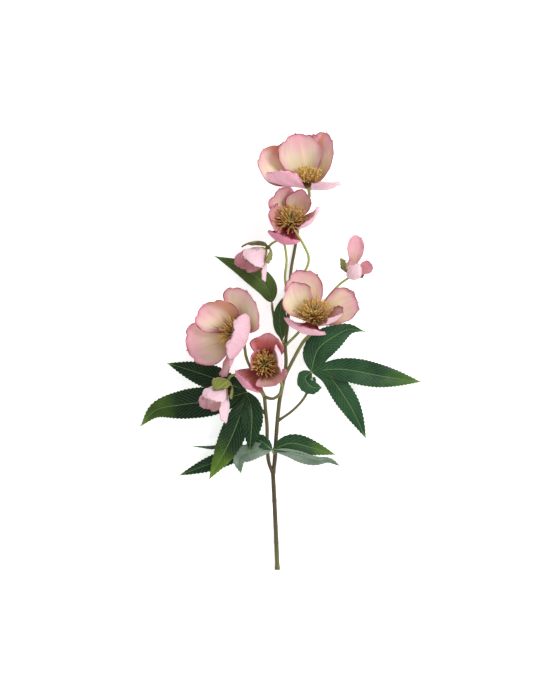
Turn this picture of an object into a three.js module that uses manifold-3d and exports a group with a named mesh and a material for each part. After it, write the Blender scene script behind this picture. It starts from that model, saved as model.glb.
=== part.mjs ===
// A cut flowering stem of Lenten rose (Helleborus x hybridus), laid on its back on a flat surface.
// Millimetres. +Y runs from the cut end to the topmost bloom, +X to its right, and +Z up from the surface.
// The stem forks low down. Its left arm carries two blooms, a nodding bud and a leaf, and its right arm
// a bloom and a leaf, then goes on behind it to two more blooms, a nodding bud and an opening one.
import * as THREE from "three";
import { mergeVertices } from "three/addons/utils/BufferGeometryUtils.js";
import Module from "manifold-3d";

const wasm = await Module();
wasm.setup();

// ---------- Driving sizes ----------
const SEPAL_THICK = 0.7;
const LEAF_THICK = 0.7;
const GAP = 0.3; // between pieces of their own that bear on each other
const NECK = 4; // the stalk's flared end that belongs to a bloom, along its axis
const NECK_RADIUS = 1.4;
const CUP_RADIUS = 4.2; // the receptacle that the sepals spring from
const CUP_HEIGHT = 1.6;
const COLLAR = 3; // the green collar under a bud, along its axis
const COLLAR_RADIUS = 1.9;
const HUB = 3; // the end of a leaf's stalk that belongs to its blade
const TUBE_STEP = 14; // between the rings of a stalk
const GOLDEN_ANGLE = Math.PI * (3 - Math.sqrt(5));

// Slides the laid-out stem so that the surface's origin lies under the middle of its box.
const LAY_AT = new THREE.Vector3(-0.9, -0.75, 0);

// ---------- Solids ----------
function solidOf(geometry) {
  const bare = geometry.index ? geometry.toNonIndexed() : geometry.clone();
  bare.deleteAttribute("normal");
  bare.deleteAttribute("uv");
  const merged = mergeVertices(bare, 1e-4);
  return new wasm.Manifold(
    new wasm.Mesh({
      numProp: 3,
      vertProperties: new Float32Array(merged.attributes.position.array),
      triVerts: new Uint32Array(merged.index.array),
    }),
  );
}

function geometryOf(solid) {
  const { numProp, numVert, vertProperties, triVerts } = solid.getMesh();
  const points = new Float32Array(numVert * 3);
  for (let i = 0; i < numVert; i++) {
    points.set(vertProperties.subarray(i * numProp, i * numProp + 3), i * 3);
  }
  const geometry = new THREE.BufferGeometry();
  geometry.setAttribute("position", new THREE.BufferAttribute(points, 3));
  geometry.setIndex(new THREE.BufferAttribute(triVerts, 1));
  return geometry;
}

// Joins closed geometries into one body and drops any loose scrap.
function fuse(geometries) {
  return largest(wasm.Manifold.union(geometries.map(solidOf)));
}

const largest = (solid) => solid.decompose().sort((a, b) => b.volume() - a.volume())[0];
const clearOf = (solid, room) => largest(solid.subtract(room));

function mesh(name, solid, material) {
  const made = new THREE.Mesh(geometryOf(solid), material);
  made.name = name;
  return made;
}

// ---------- Surfaces ----------
const mix = (a, b, t) => a + (b - a) * t;
const radians = THREE.MathUtils.degToRad;
const smooth = THREE.MathUtils.smoothstep;

// A closed tube through rings of equal size, given as arrays of points, with both ends capped.
function loft(rings) {
  const sides = rings[0].length;
  const points = rings.flat();
  const faces = [];
  for (let i = 0; i + 1 < rings.length; i++) {
    for (let j = 0; j < sides; j++) {
      const a = i * sides + j;
      const b = i * sides + ((j + 1) % sides);
      faces.push(a, b, b + sides, a, b + sides, a + sides);
    }
  }
  const last = (rings.length - 1) * sides;
  for (let j = 1; j + 1 < sides; j++) {
    faces.push(0, j + 1, j, last, last + j, last + j + 1);
  }
  return new THREE.BufferGeometry().setFromPoints(points).setIndex(faces);
}

// A tapered tube along a curve from its share `from` to its share `to`.
function tube(curve, radiusAt, { from = 0, to = 1, sides = 5, step = TUBE_STEP } = {}) {
  const segments = Math.max(2, Math.ceil((curve.getLength() * (to - from)) / step));
  const rings = [];
  let side = null;
  for (let i = 0; i <= segments; i++) {
    const t = mix(from, to, i / segments);
    const along = curve.getTangentAt(t);
    side ??= new THREE.Vector3(along.z, 0, -along.x).add(new THREE.Vector3(0, 1e-3, 0));
    side.addScaledVector(along, -side.dot(along)).normalize();
    const up = new THREE.Vector3().crossVectors(along, side);
    const centre = curve.getPointAt(t);
    const ring = [];
    for (let j = 0; j < sides; j++) {
      const turn = (2 * Math.PI * j) / sides;
      ring.push(
        centre
          .clone()
          .addScaledVector(side, radiusAt(t) * Math.cos(turn))
          .addScaledVector(up, radiusAt(t) * Math.sin(turn)),
      );
    }
    rings.push(ring);
  }
  return loft(rings);
}

const sidesFor = (radius) => (radius[0] > 1.8 ? 6 : 5);

const curveThrough = (points) =>
  new THREE.CatmullRomCurve3(points.map((p) => new THREE.Vector3(...p)));

// A closed blade with a face on each side of the middle surface point(u, v), where u runs over
// `across` and v over `along`. Both faces are split into triangles the same way.
function blade(point, across, along, thick) {
  const STEP = 1e-3;
  const faces = [];
  const sheets = [[], []];
  for (const v of along) {
    for (const u of across) {
      const over = point(Math.min(u + STEP, 1), v).sub(point(Math.max(u - STEP, -1), v));
      const on = point(u, Math.min(v + STEP, 1)).sub(point(u, Math.max(v - STEP, 0)));
      const out = on.cross(over).normalize();
      const middle = point(u, v);
      sheets[0].push(middle.clone().addScaledVector(out, thick / 2));
      sheets[1].push(middle.clone().addScaledVector(out, -thick / 2));
    }
  }
  const columns = across.length;
  const count = sheets[0].length;
  for (let i = 0; i + 1 < along.length; i++) {
    for (let j = 0; j + 1 < columns; j++) {
      const a = i * columns + j;
      const b = a + 1;
      const c = a + columns;
      const d = c + 1;
      const split = j < (columns - 1) / 2 ? [a, b, c, b, d, c] : [a, b, d, a, d, c];
      faces.push(...split);
      const back = split.map((k) => k + count);
      faces.push(back[0], back[2], back[1], back[3], back[5], back[4]);
    }
  }
  const edge = [];
  for (let j = 0; j < columns - 1; j++) edge.push(j);
  for (let i = 0; i < along.length - 1; i++) edge.push(i * columns + columns - 1);
  for (let j = columns - 1; j > 0; j--) edge.push((along.length - 1) * columns + j);
  for (let i = along.length - 1; i > 0; i--) edge.push(i * columns);
  edge.forEach((a, i) => {
    const b = edge[(i + 1) % edge.length];
    faces.push(b, a, a + count, b, a + count, b + count);
  });
  const geometry = new THREE.BufferGeometry().setFromPoints(sheets.flat()).setIndex(faces);
  return outward(geometry);
}

// Turns a closed surface's triangles round if they face inwards.
function outward(geometry) {
  if (solidOf(geometry).volume() > 0) return geometry;
  const index = geometry.index.array;
  for (let i = 0; i < index.length; i += 3) {
    [index[i + 1], index[i + 2]] = [index[i + 2], index[i + 1]];
  }
  return geometry;
}

const spread = (count, ease = (t) => t) =>
  Array.from({ length: count + 1 }, (_, i) => ease(i / count));

// How far a blade's point lies to the side of its middle line and above it, at a share u of its half
// width. The blade turns up by `fold` at the middle line, by `cup` more at its edge and by `curl`
// more again close to the edge.
function bent(u, wide, fold, cup, curl) {
  const STEPS = 6;
  let side = 0;
  let lift = 0;
  for (let i = 0; i < STEPS; i++) {
    const t = (Math.abs(u) * (i + 0.5)) / STEPS;
    const turn = fold + cup * t + curl * t ** 4;
    side += (Math.cos(turn) * Math.abs(u)) / STEPS;
    lift += (Math.sin(turn) * Math.abs(u)) / STEPS;
  }
  return [Math.sign(u) * side * wide, lift * wide];
}

// ---------- Sepals ----------
const SEPAL_BASE = 0.24;
const SEPAL_PEAK = 0.6;
const SEPAL_START = { out: 3.2, up: 0.6 };
const BRACT_START = { out: 0.8, up: -(NECK + GAP + COLLAR / 2) };

// Half width along a sepal as a share of its widest: a broad claw, a round top and a small point.
function sepalOutline(v) {
  const point = 0.3 * (1 - v) ** 0.8 + 0.02;
  if (v <= SEPAL_PEAK) {
    return mix(SEPAL_BASE, 1, Math.sin(((v / SEPAL_PEAK) * Math.PI) / 2) ** 1.1);
  }
  const t = Math.min(1, (v - SEPAL_PEAK) / (0.96 - SEPAL_PEAK));
  return Math.max(Math.sqrt(Math.max(0, 1 - t ** 2.4)), point);
}

// Half width along a bract: narrow at its foot and drawn out to its tip.
const bractOutline = (v) => leafOutline(v, 0.5, 1.5);

// The line up the middle of a sepal: its angle above the bloom's face runs through the three values
// of `rise` at its foot, its middle and its tip.
function spine(long, rise, start) {
  const STEPS = 24;
  const [foot, middle, tip] = rise.map(radians);
  const angle = (v) =>
    foot * (1 - v) * (1 - 2 * v) + middle * 4 * v * (1 - v) + tip * v * (2 * v - 1);
  const stops = [[0, 0]];
  for (let i = 0; i < STEPS; i++) {
    const turn = angle((i + 0.5) / STEPS);
    const [out, up] = stops[i];
    stops.push([out + (Math.cos(turn) * long) / STEPS, up + (Math.sin(turn) * long) / STEPS]);
  }
  return (v) => {
    const i = Math.min(STEPS - 1, Math.floor(v * STEPS));
    const t = v * STEPS - i;
    return {
      out: start.out + mix(stops[i][0], stops[i + 1][0], t),
      up: start.up + mix(stops[i][1], stops[i + 1][1], t),
      turn: angle(v),
    };
  };
}

// A sepal's middle surface in its bloom's frame, whose +Z is the bloom's axis. `turn` is its place
// round the axis in degrees, `lean` tips it about its own length, `sway` carries its tip to one side,
// and `layer` lifts one that overlaps its neighbours.
function sepalSurface(sepal) {
  const { turn, long, half, rise, start = SEPAL_START, outline = sepalOutline } = sepal;
  const { cup = 0.7, curl = [0, 0], lean = 0, sway = 0, phase = 0, layer = 0 } = sepal;
  const middle = spine(long, rise, start);
  const around = new THREE.Vector3(0, 0, 1);
  return (u, v) => {
    const at = middle(v * (1 - 0.025 * (1 - Math.sin(7 * u + phase)) * v * v));
    const wide = half * outline(v) * (1 + 0.03 * Math.sin(9 * v + phase + 2 * u));
    const cupped = cup * mix(0.3, 1, smooth(v, 0, 0.35));
    const curled = (u > 0 ? curl[1] : curl[0]) * smooth(v, 0.2, 0.8);
    const [across, lift] = bent(u, wide, 0, cupped, curled);
    const side = across + sway * v * v;
    const wave = 1.3 * Math.sin(8 * v * Math.sign(u) + phase) * u * u * smooth(v, 0.3, 0.9);
    const tilt = radians(lean) * smooth(v, 0, 0.4);
    const y = side * Math.cos(tilt) - (lift + wave) * Math.sin(tilt);
    const n = side * Math.sin(tilt) + (lift + wave) * Math.cos(tilt);
    return new THREE.Vector3(
      at.out - n * Math.sin(at.turn),
      y,
      at.up + layer * smooth(v, 0, 0.25) + n * Math.cos(at.turn),
    ).applyAxisAngle(around, radians(turn));
  };
}

const SEPAL_ACROSS = [-1, -0.55, 0, 0.55, 1];
const SEPAL_ALONG = [0, 0.2, 0.42, 0.64, 0.84, 1];
const BUD_ACROSS = [-1, -0.4, 0.4, 1];
const BUD_ALONG = [0, 0.25, 0.5, 0.78, 1];

const neck = () =>
  new THREE.LatheGeometry(
    [
      [0, -NECK],
      [NECK_RADIUS, -NECK],
      [CUP_RADIUS, 0],
      [CUP_RADIUS, CUP_HEIGHT],
      [0, CUP_HEIGHT],
    ].map(([r, z]) => new THREE.Vector2(r, z)),
    8,
  ).rotateX(Math.PI / 2);

const sepalBlades = (sepals, thick = SEPAL_THICK) =>
  sepals.map((sepal) => blade(sepalSurface(sepal), SEPAL_ACROSS, SEPAL_ALONG, thick));

const budBlades = (sepals) =>
  sepals.map((sepal) => blade(sepalSurface(sepal), BUD_ACROSS, BUD_ALONG, SEPAL_THICK));

// The collar below a bud, with the bracts that spring from it and stand round the sepals.
function bractBody(bracts) {
  const collar = new THREE.CylinderGeometry(COLLAR_RADIUS, COLLAR_RADIUS - 0.3, COLLAR, 8)
    .rotateX(Math.PI / 2)
    .translate(0, 0, -(NECK + GAP + COLLAR / 2));
  const shaped = bracts.map((bract) => ({ ...bract, start: BRACT_START, outline: bractOutline }));
  return fuse([collar, ...budBlades(shaped)]);
}

// ---------- The middle of a bloom ----------
const BOSS_RADIUS = 2.5;
const BOSS_FOOT = CUP_HEIGHT + GAP;
const BOSS_TOP = 4.8;
const NECTARIES = 9;
const STAMENS = 16;
const CARPELS = 5;

function seeded(seed) {
  let state = seed >>> 0;
  return () => {
    state = (state + 0x6d2b79f5) >>> 0;
    let t = Math.imul(state ^ (state >>> 15), 1 | state);
    t = (t + Math.imul(t ^ (t >>> 7), 61 | t)) ^ t;
    return ((t ^ (t >>> 14)) >>> 0) / 4294967296;
  };
}

// A thin stalk that starts near the axis and bends as it rises, with its radius at each share.
function stalk(turn, start, end, sag, radii, sides) {
  const at = ([r, z]) => [r * Math.cos(turn), r * Math.sin(turn), z];
  const middle = [mix(start[0], end[0], 0.55) + sag, mix(start[1], end[1], 0.45)];
  const curve = curveThrough([at(start), at(middle), at(end)]);
  const rings = radii.map(([t, radius]) => {
    const along = curve.getTangentAt(t);
    const side = new THREE.Vector3(-Math.sin(turn), Math.cos(turn), 0);
    const up = new THREE.Vector3().crossVectors(along, side);
    const centre = curve.getPointAt(t);
    return Array.from({ length: sides }, (_, j) => {
      const a = (2 * Math.PI * j) / sides;
      return centre
        .clone()
        .addScaledVector(side, radius * Math.cos(a))
        .addScaledVector(up, radius * Math.sin(a));
    });
  });
  return outward(loft(rings));
}

// The ring of short, horn-like nectaries that lies on the feet of the sepals.
function nectaryBody() {
  const columns = 2 * NECTARIES;
  const inner = BOSS_RADIUS + GAP;
  const points = [];
  const faces = [];
  for (let i = 0; i < columns; i++) {
    const horn = i % 2 === 0;
    const section = [
      [inner, BOSS_FOOT],
      [CUP_RADIUS - 0.2, BOSS_FOOT],
      horn ? [CUP_RADIUS + 1.4, BOSS_FOOT + 2.4] : [CUP_RADIUS, BOSS_FOOT + 0.8],
      horn ? [CUP_RADIUS + 0.5, BOSS_FOOT + 2.6] : [inner + 0.3, BOSS_FOOT + 0.9],
    ];
    const turn = (2 * Math.PI * i) / columns;
    for (const [r, z] of section) {
      points.push(new THREE.Vector3(r * Math.cos(turn), r * Math.sin(turn), z));
    }
    for (let j = 0; j < 4; j++) {
      const a = 4 * i + j;
      const b = 4 * i + ((j + 1) % 4);
      const c = (a + 4) % (4 * columns);
      const d = (b + 4) % (4 * columns);
      faces.push(...(horn ? [a, b, d, a, d, c] : [a, b, c, b, d, c]));
    }
  }
  return fuse([outward(new THREE.BufferGeometry().setFromPoints(points).setIndex(faces))]);
}

// Stamens stand on the boss by the golden angle: the outer ones spread wide and the inner ones rise.
function stamenBody(seed, reach, spread) {
  const random = seeded(seed);
  const boss = new THREE.CylinderGeometry(BOSS_RADIUS, BOSS_RADIUS, BOSS_TOP - BOSS_FOOT, 8)
    .rotateX(Math.PI / 2)
    .translate(0, 0, (BOSS_TOP + BOSS_FOOT) / 2);
  const stamens = Array.from({ length: STAMENS }, (_, i) => {
    const inner = i / (STAMENS - 1);
    const spreadAngle = radians(mix(...spread, inner) + 7 * (random() - 0.5));
    const long = reach * (0.86 + 0.28 * random());
    return stalk(
      i * GOLDEN_ANGLE + 0.3 * (random() - 0.5),
      [BOSS_RADIUS - 0.4, mix(3.3, 4.3, inner)],
      [2 + long * Math.cos(spreadAngle), 3 + long * Math.sin(spreadAngle)],
      0.6,
      [
        [0, 0.45],
        [0.8, 0.38],
        [1, 0.85],
      ],
      3,
    );
  });
  return fuse([boss, ...stamens]);
}

// Five upright carpels on a low core, each drawn out into a style that leans outwards.
function carpelBody() {
  const foot = BOSS_TOP + GAP;
  const core = new THREE.CylinderGeometry(1.3, 1.3, 1.6, 6)
    .rotateX(Math.PI / 2)
    .translate(0, 0, foot + 0.8);
  const carpels = Array.from({ length: CARPELS }, (_, i) =>
    stalk(
      (2 * Math.PI * (i + 0.5)) / CARPELS,
      [0.7, foot + 0.8],
      [3.1, foot + 12],
      -0.5,
      [
        [0, 0.85],
        [1, 0.4],
      ],
      3,
    ),
  );
  return fuse([core, ...carpels]);
}

// What the stamens keep clear of: the core, and the styles out to their tips.
const carpelRoom = () =>
  new THREE.LatheGeometry(
    [
      [0, BOSS_TOP + 0.05],
      [1.9, BOSS_TOP + 0.05],
      [1.9, BOSS_TOP + 6],
      [4.3, BOSS_TOP + 13.5],
      [0, BOSS_TOP + 13.5],
    ].map(([r, z]) => new THREE.Vector2(r, z)),
    12,
  ).rotateX(Math.PI / 2);

// ---------- Leaves ----------
// Half width along a leaflet as a share of its widest.
function leafOutline(v, peak, full) {
  const t = Math.min(Math.max(v, 1e-4), 1 - 1e-4);
  const rise = (t / peak) ** (full * peak);
  const fall = ((1 - t) / (1 - peak)) ** (full * (1 - peak));
  return Math.max(rise * fall, 0.035);
}

// Saw teeth that point to the tip: 0 on a tooth and 1 in the notch behind it.
function notch(v, teeth) {
  const t = ((v * teeth) % 1 + 1) % 1;
  return t < 0.3 ? t / 0.3 : (1 - t) / 0.7;
}

function leafletSurface(leaflet) {
  const { path, half, faces = [0, 0, 1], teeth = 0, cut = 0.16 } = leaflet;
  const { fold = 0.25, cup = -0.3, peak = 0.46, full = 1.9, ruffle = 0.5 } = leaflet;
  const curve = curveThrough(path);
  return (u, v) => {
    const along = curve.getTangentAt(v);
    const out = new THREE.Vector3(...faces);
    const side = new THREE.Vector3().crossVectors(along, out).normalize();
    const up = new THREE.Vector3().crossVectors(side, along);
    const toothed = teeth && v > 0.2 ? 1 - cut * notch(v, teeth) * Math.abs(u) ** 3 : 1;
    const wide = half * leafOutline(v, peak, full);
    const [x, y] = bent(u, wide * toothed, fold, cup, 0);
    const wave = ruffle * Math.sin(11 * v + 3 * u) * u * u * Math.min(1, wide / 5);
    return curve.getPointAt(v).addScaledVector(side, x).addScaledVector(up, y + wave);
  };
}

// Rows on every tooth and in every notch, from where the margin starts to be toothed.
function leafRows(teeth) {
  if (!teeth) return spread(7);
  const rows = [0, 0.1];
  for (let i = Math.ceil(0.2 * teeth); i < teeth; i++) {
    rows.push(i / teeth, (i + 0.3) / teeth);
  }
  return [...rows, 1];
}

function leafBody(name, { teeth = 0, leaflets }) {
  const hub = LEAF_STALKS[name].path.at(-1);
  const blades = leaflets.map((leaflet) => {
    const shaped = { teeth, ...leaflet, path: [hub, ...leaflet.path] };
    return blade(leafletSurface(shaped), [-1, 0, 1], leafRows(shaped.teeth), LEAF_THICK);
  });
  return fuse([stalkEnd(name), ...blades]);
}

// ---------- Stem ----------
const FORK = [-5.5, -104, 12];
const LEFT_NODE = [-12.8, -38.7, 18];
const RIGHT_NODE = [3.8, -22.5, 14];
const MIDDLE_NODE = [4.7, 4.7, 10.5];
const UPPER_NODE = [8, 47, 6];

// ---------- Blooms ----------
// `base` is the middle of the receptacle and `axis` the way the bloom looks. A sepal's turn is
// counted anticlockwise from the top, as the bloom is seen from the front.
const BLOOMS = {
  top: {
    base: [25, 139.5, 24],
    axis: [-0.04, 0.87, 0.5],
    stamens: 13,
    spread: [50, 74],
    sepals: [
      { turn: 27, long: 47, half: 20, rise: [35, 64, 68], cup: 0.6, phase: 0.4, lean: -8, layer: 1 },
      { turn: 68, long: 51, half: 22, rise: [14, 36, 62], cup: 0.8, phase: 2.1, lean: -28 },
      { turn: 126, long: 44, half: 14, rise: [10, 40, 52], cup: 0.6, phase: 3.3, lean: 40, layer: 1 },
      { turn: 233, long: 29, half: 14.5, rise: [-12, 34, 55], cup: 0.5, phase: 4.9, lean: -30 },
      { turn: 322, long: 49, half: 17, rise: [32, 58, 64], cup: 0.7, phase: 0.9, sway: 5 },
    ],
  },
  upper: {
    base: [9.5, 108, 13],
    axis: [0.05, 0.42, 0.9],
    stamens: 14,
    spread: [40, 70],
    sepals: [
      { turn: 25, long: 35.5, half: 14, rise: [12, 52, 80], cup: 0.9, phase: 0.4, layer: 0.5 },
      { turn: 338, long: 33, half: 13, rise: [12, 48, 80], cup: 0.9, phase: 1.4 },
      { turn: 94, long: 31, half: 15, rise: [12, 54, 95], cup: 0.9, phase: 2.1, layer: 0.5 },
      { turn: 160, long: 38, half: 17, rise: [-10, 45, 160], cup: 0.9, phase: 3.3 },
      { turn: 256, long: 34, half: 16, rise: [8, 62, 112], cup: 0.8, phase: 4.9, lean: -28 },
    ],
  },
  left: {
    base: [-34.8, 14, 26],
    axis: [-0.42, 0.12, 0.9],
    stamens: 14,
    spread: [36, 66],
    sepals: [
      { turn: 328, long: 38, half: 22.5, rise: [10, 25, 15], cup: 0.6, phase: 0.4, sway: 9 },
      { turn: 36, long: 37, half: 20, rise: [12, 36, 28], cup: 0.7, phase: 1.4, sway: 7, layer: 1.2 },
      { turn: 112, long: 44, half: 22, rise: [8, 20, 15], cup: 0.7, phase: 2.1, sway: -2 },
      { turn: 186, long: 34.3, half: 13.7, rise: [14, 32, 18], cup: 0.8, phase: 3.3, lean: 44, sway: -14 },
      { turn: 251, long: 45.8, half: 21.4, rise: [16, 88, 155], cup: 0.5, phase: 4.9 },
    ],
  },
  middle: {
    base: [-13, -13, 30],
    axis: [0, 0.25, 0.97],
    stamens: 14,
    spread: [40, 70],
    sepals: [
      { turn: 349, long: 34, half: 17, rise: [12, 50, 80], cup: 0.9, phase: 0.4 },
      { turn: 66, long: 27, half: 9.5, rise: [35, 74, 100], cup: 0.8, phase: 1.4, layer: 0.6 },
      { turn: 138, long: 40, half: 16, rise: [-5, 40, 175], cup: 0.7, phase: 2.1 },
      { turn: 205, long: 31, half: 16, rise: [5, 50, 60], cup: 0.6, phase: 3.3, layer: 0.5 },
      { turn: 280, long: 36, half: 14, rise: [15, 78, 150], cup: 0.6, phase: 4.9 },
    ],
  },
  right: {
    base: [29.8, 25, 27],
    axis: [0, 0.72, 0.69],
    stamens: 16,
    spread: [38, 68],
    sepals: [
      { turn: 28, long: 47, half: 19, rise: [15, 52, 62], cup: 0.7, phase: 0.4, layer: 0.6 },
      { turn: 60, long: 43, half: 16, rise: [26, 63, 100], cup: 0.7, phase: 1.4, lean: -28, layer: 1.6 },
      { turn: 152, long: 37, half: 21, rise: [-20, 40, 90], cup: 0.6, phase: 2.1, layer: 0.4 },
      { turn: 238, long: 38, half: 14, rise: [14, 48, 66], cup: 1, curl: [0, 1.4], phase: 3.3 },
      { turn: 282, long: 41, half: 22, rise: [10, 28, 15], cup: 0.6, phase: 4.9 },
    ],
  },
};

// Buds: small sepals that still hold together, on a collar of green bracts.
const BUDS = {
  upper: {
    base: [-13.4, 85.6, 18],
    axis: [-0.6, -0.55, 0.58],
    sepals: [
      { turn: 15, long: 24, half: 9, rise: [40, 78, 100], cup: 0.9 },
      { turn: 84, long: 27, half: 9.5, rise: [34, 60, 82], cup: 0.8 },
      { turn: 142, long: 24, half: 8, rise: [40, 76, 96], cup: 0.9 },
      { turn: 205, long: 27, half: 6.5, rise: [32, 52, 50], cup: 0.8, lean: 42, layer: 0.6 },
      { turn: 306, long: 28, half: 11.5, rise: [48, 76, 96], cup: 0.8, layer: 1 },
    ],
    bracts: [
      { turn: 18, long: 29, half: 7, rise: [15, 60, 85], cup: 0.4 },
      { turn: 256, long: 26, half: 5, rise: [15, 62, 85], cup: 0.4 },
    ],
  },
  right: {
    base: [62.5, 68.5, 25],
    axis: [0.15, 0.35, 0.92],
    sepals: [
      { turn: 355, long: 29, half: 8, rise: [28, 30, 10], cup: 0.8 },
      { turn: 60, long: 16, half: 5.5, rise: [40, 80, 95], cup: 0.9 },
      { turn: 164, long: 35, half: 6.5, rise: [12, 96, 160], cup: 0.6 },
      { turn: 265, long: 16, half: 8, rise: [24, 40, 20], cup: 1.1 },
    ],
    bracts: [
      { turn: 62, long: 23, half: 4, rise: [12, 58, 66], cup: 0.4 },
      { turn: 236, long: 15, half: 3.5, rise: [12, 50, 75], cup: 0.4 },
    ],
  },
  left: {
    base: [-47.2, -29.3, 33],
    axis: [-0.5, -0.7, 0.5],
    sepals: [
      { turn: 40, long: 24, half: 9, rise: [42, 76, 92], cup: 0.9 },
      { turn: 98, long: 26, half: 9, rise: [40, 66, 80], cup: 0.8 },
      { turn: 150, long: 24, half: 9, rise: [42, 76, 92], cup: 0.9 },
      { turn: 212, long: 33, half: 9.5, rise: [34, 64, 64], cup: 0.9, lean: 42, layer: 0.6 },
      { turn: 322, long: 27, half: 11, rise: [44, 72, 90], cup: 0.8, layer: 1 },
    ],
    bracts: [
      { turn: 325, long: 27, half: 8, rise: [12, 64, 96], cup: 0.4 },
      { turn: 246, long: 22, half: 5, rise: [12, 58, 85], cup: 0.4 },
    ],
  },
};

// The end of a stalk at a bloom, a little behind its receptacle and in line with its axis.
function stalkTo({ base, axis }, back = NECK + GAP) {
  const at = new THREE.Vector3(...base);
  const along = new THREE.Vector3(...axis).normalize();
  const point = (d) => at.clone().addScaledVector(along, -d).toArray();
  return [point(back + 5), point(back)];
}

const budBack = NECK + GAP + COLLAR + GAP;

const STALKS = {
  main: { radius: [1.95, 1.85], path: [[-1.7, -186.6, 1.7], [-2.6, -165, 2.8], [-4, -134, 8], FORK] },
  left_arm: {
    radius: [1.55, 1.5],
    path: [FORK, [-9, -95, 14.5], [-10.4, -80, 16.5], [-10.6, -64, 17.5], [-11.8, -50, 18], LEFT_NODE],
  },
  right_arm: {
    radius: [1.75, 1.65],
    path: [FORK, [-4, -92, 13], [-3, -75, 14], [-1.7, -58, 14], [0, -42, 14], RIGHT_NODE],
  },
  to_right_bloom: {
    radius: [1.55, 1.4],
    path: [RIGHT_NODE, [13.2, -4, 17], [20.8, 9, 20], ...stalkTo(BLOOMS.right)],
  },
  to_middle_node: { radius: [1.6, 1.5], path: [RIGHT_NODE, [5.5, -8.9, 12], MIDDLE_NODE] },
  to_upper_node: { radius: [1.5, 1.4], path: [MIDDLE_NODE, [7.2, 26.8, 8], UPPER_NODE] },
  to_top_bloom: {
    radius: [1.4, 1.3],
    path: [UPPER_NODE, [9.8, 69, 3], [13.5, 90, 1.2], [17.5, 112, 5], ...stalkTo(BLOOMS.top)],
  },
  to_upper_bloom: {
    radius: [1.15, 1.15],
    path: [UPPER_NODE, [18, 62, 10], [25, 78, 12], [20, 92, 10], [13, 102, 7], ...stalkTo(BLOOMS.upper)],
  },
  to_upper_bud: {
    radius: [1.1, 1.05],
    path: [
      UPPER_NODE,
      [4.7, 62, 9],
      [6, 80, 12],
      [2, 95, 14],
      ...stalkTo(BUDS.upper, budBack),
    ],
  },
  to_right_bud: {
    radius: [1.15, 1.05],
    path: [MIDDLE_NODE, [15.7, 15.7, 13], [36, 40, 15], [51, 57, 13.5], ...stalkTo(BUDS.right, budBack)],
  },
  to_left_bloom: {
    radius: [1.4, 1.3],
    path: [LEFT_NODE, [-19, -24, 19], [-28, -6, 17], ...stalkTo(BLOOMS.left)],
  },
  to_middle_bloom: {
    radius: [1.3, 1.25],
    path: [LEFT_NODE, [-5, -40, 20], [2, -33, 21], [-1, -22, 19.5], ...stalkTo(BLOOMS.middle)],
  },
  to_left_bud: {
    radius: [1.15, 1.15],
    path: [LEFT_NODE, [-18, -31, 23], [-27, -21, 30], ...stalkTo(BUDS.left, budBack)],
  },
};

// Leaf stalks run on into the leaf: their last stretch belongs to the blade, and they end at the hub
// that the leaflets spread from.
const LEAF_STALKS = {
  right: {
    radius: [1.15, 1.1],
    path: [[-1, -59, 14], [11.5, -50, 14], [21, -39.5, 14], [26, -28, 12.5], [27, -17, 17]],
  },
  left: {
    radius: [1.15, 1.1],
    path: [[-11.3, -54, 18], [-18, -46, 15.5], [-23, -39, 15.5], [-27.5, -34.5, 18]],
  },
  fork_front: { radius: [1.15, 1.1], path: [[-3.6, -88, 13], [-5, -86, 17], [-6, -83.5, 20]] },
  fork_back: { radius: [1.15, 1.1], path: [[-10, -84, 15.5], [-14, -82.5, 12.5], [-18, -82, 11]] },
  bract_left: { radius: [1.2, 1.05], path: [MIDDLE_NODE, [-1.5, 18, 10], [-5.6, 33, 10.5], [-6.5, 42, 11]] },
  bract_middle: { radius: [1.1, 1], path: [MIDDLE_NODE, [4.2, 6.5, 13.5], [2.6, 10, 15]] },
  bract_upper: { radius: [1.2, 1], path: [UPPER_NODE, [12, 46.5, 6], [16, 48.5, 5.5]] },
};

function stalkEnd(name) {
  const { radius, path } = LEAF_STALKS[name];
  const curve = curveThrough(path);
  return tube(curve, () => radius[1], { from: 1 - HUB / curve.getLength(), step: 1.5 });
}

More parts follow.
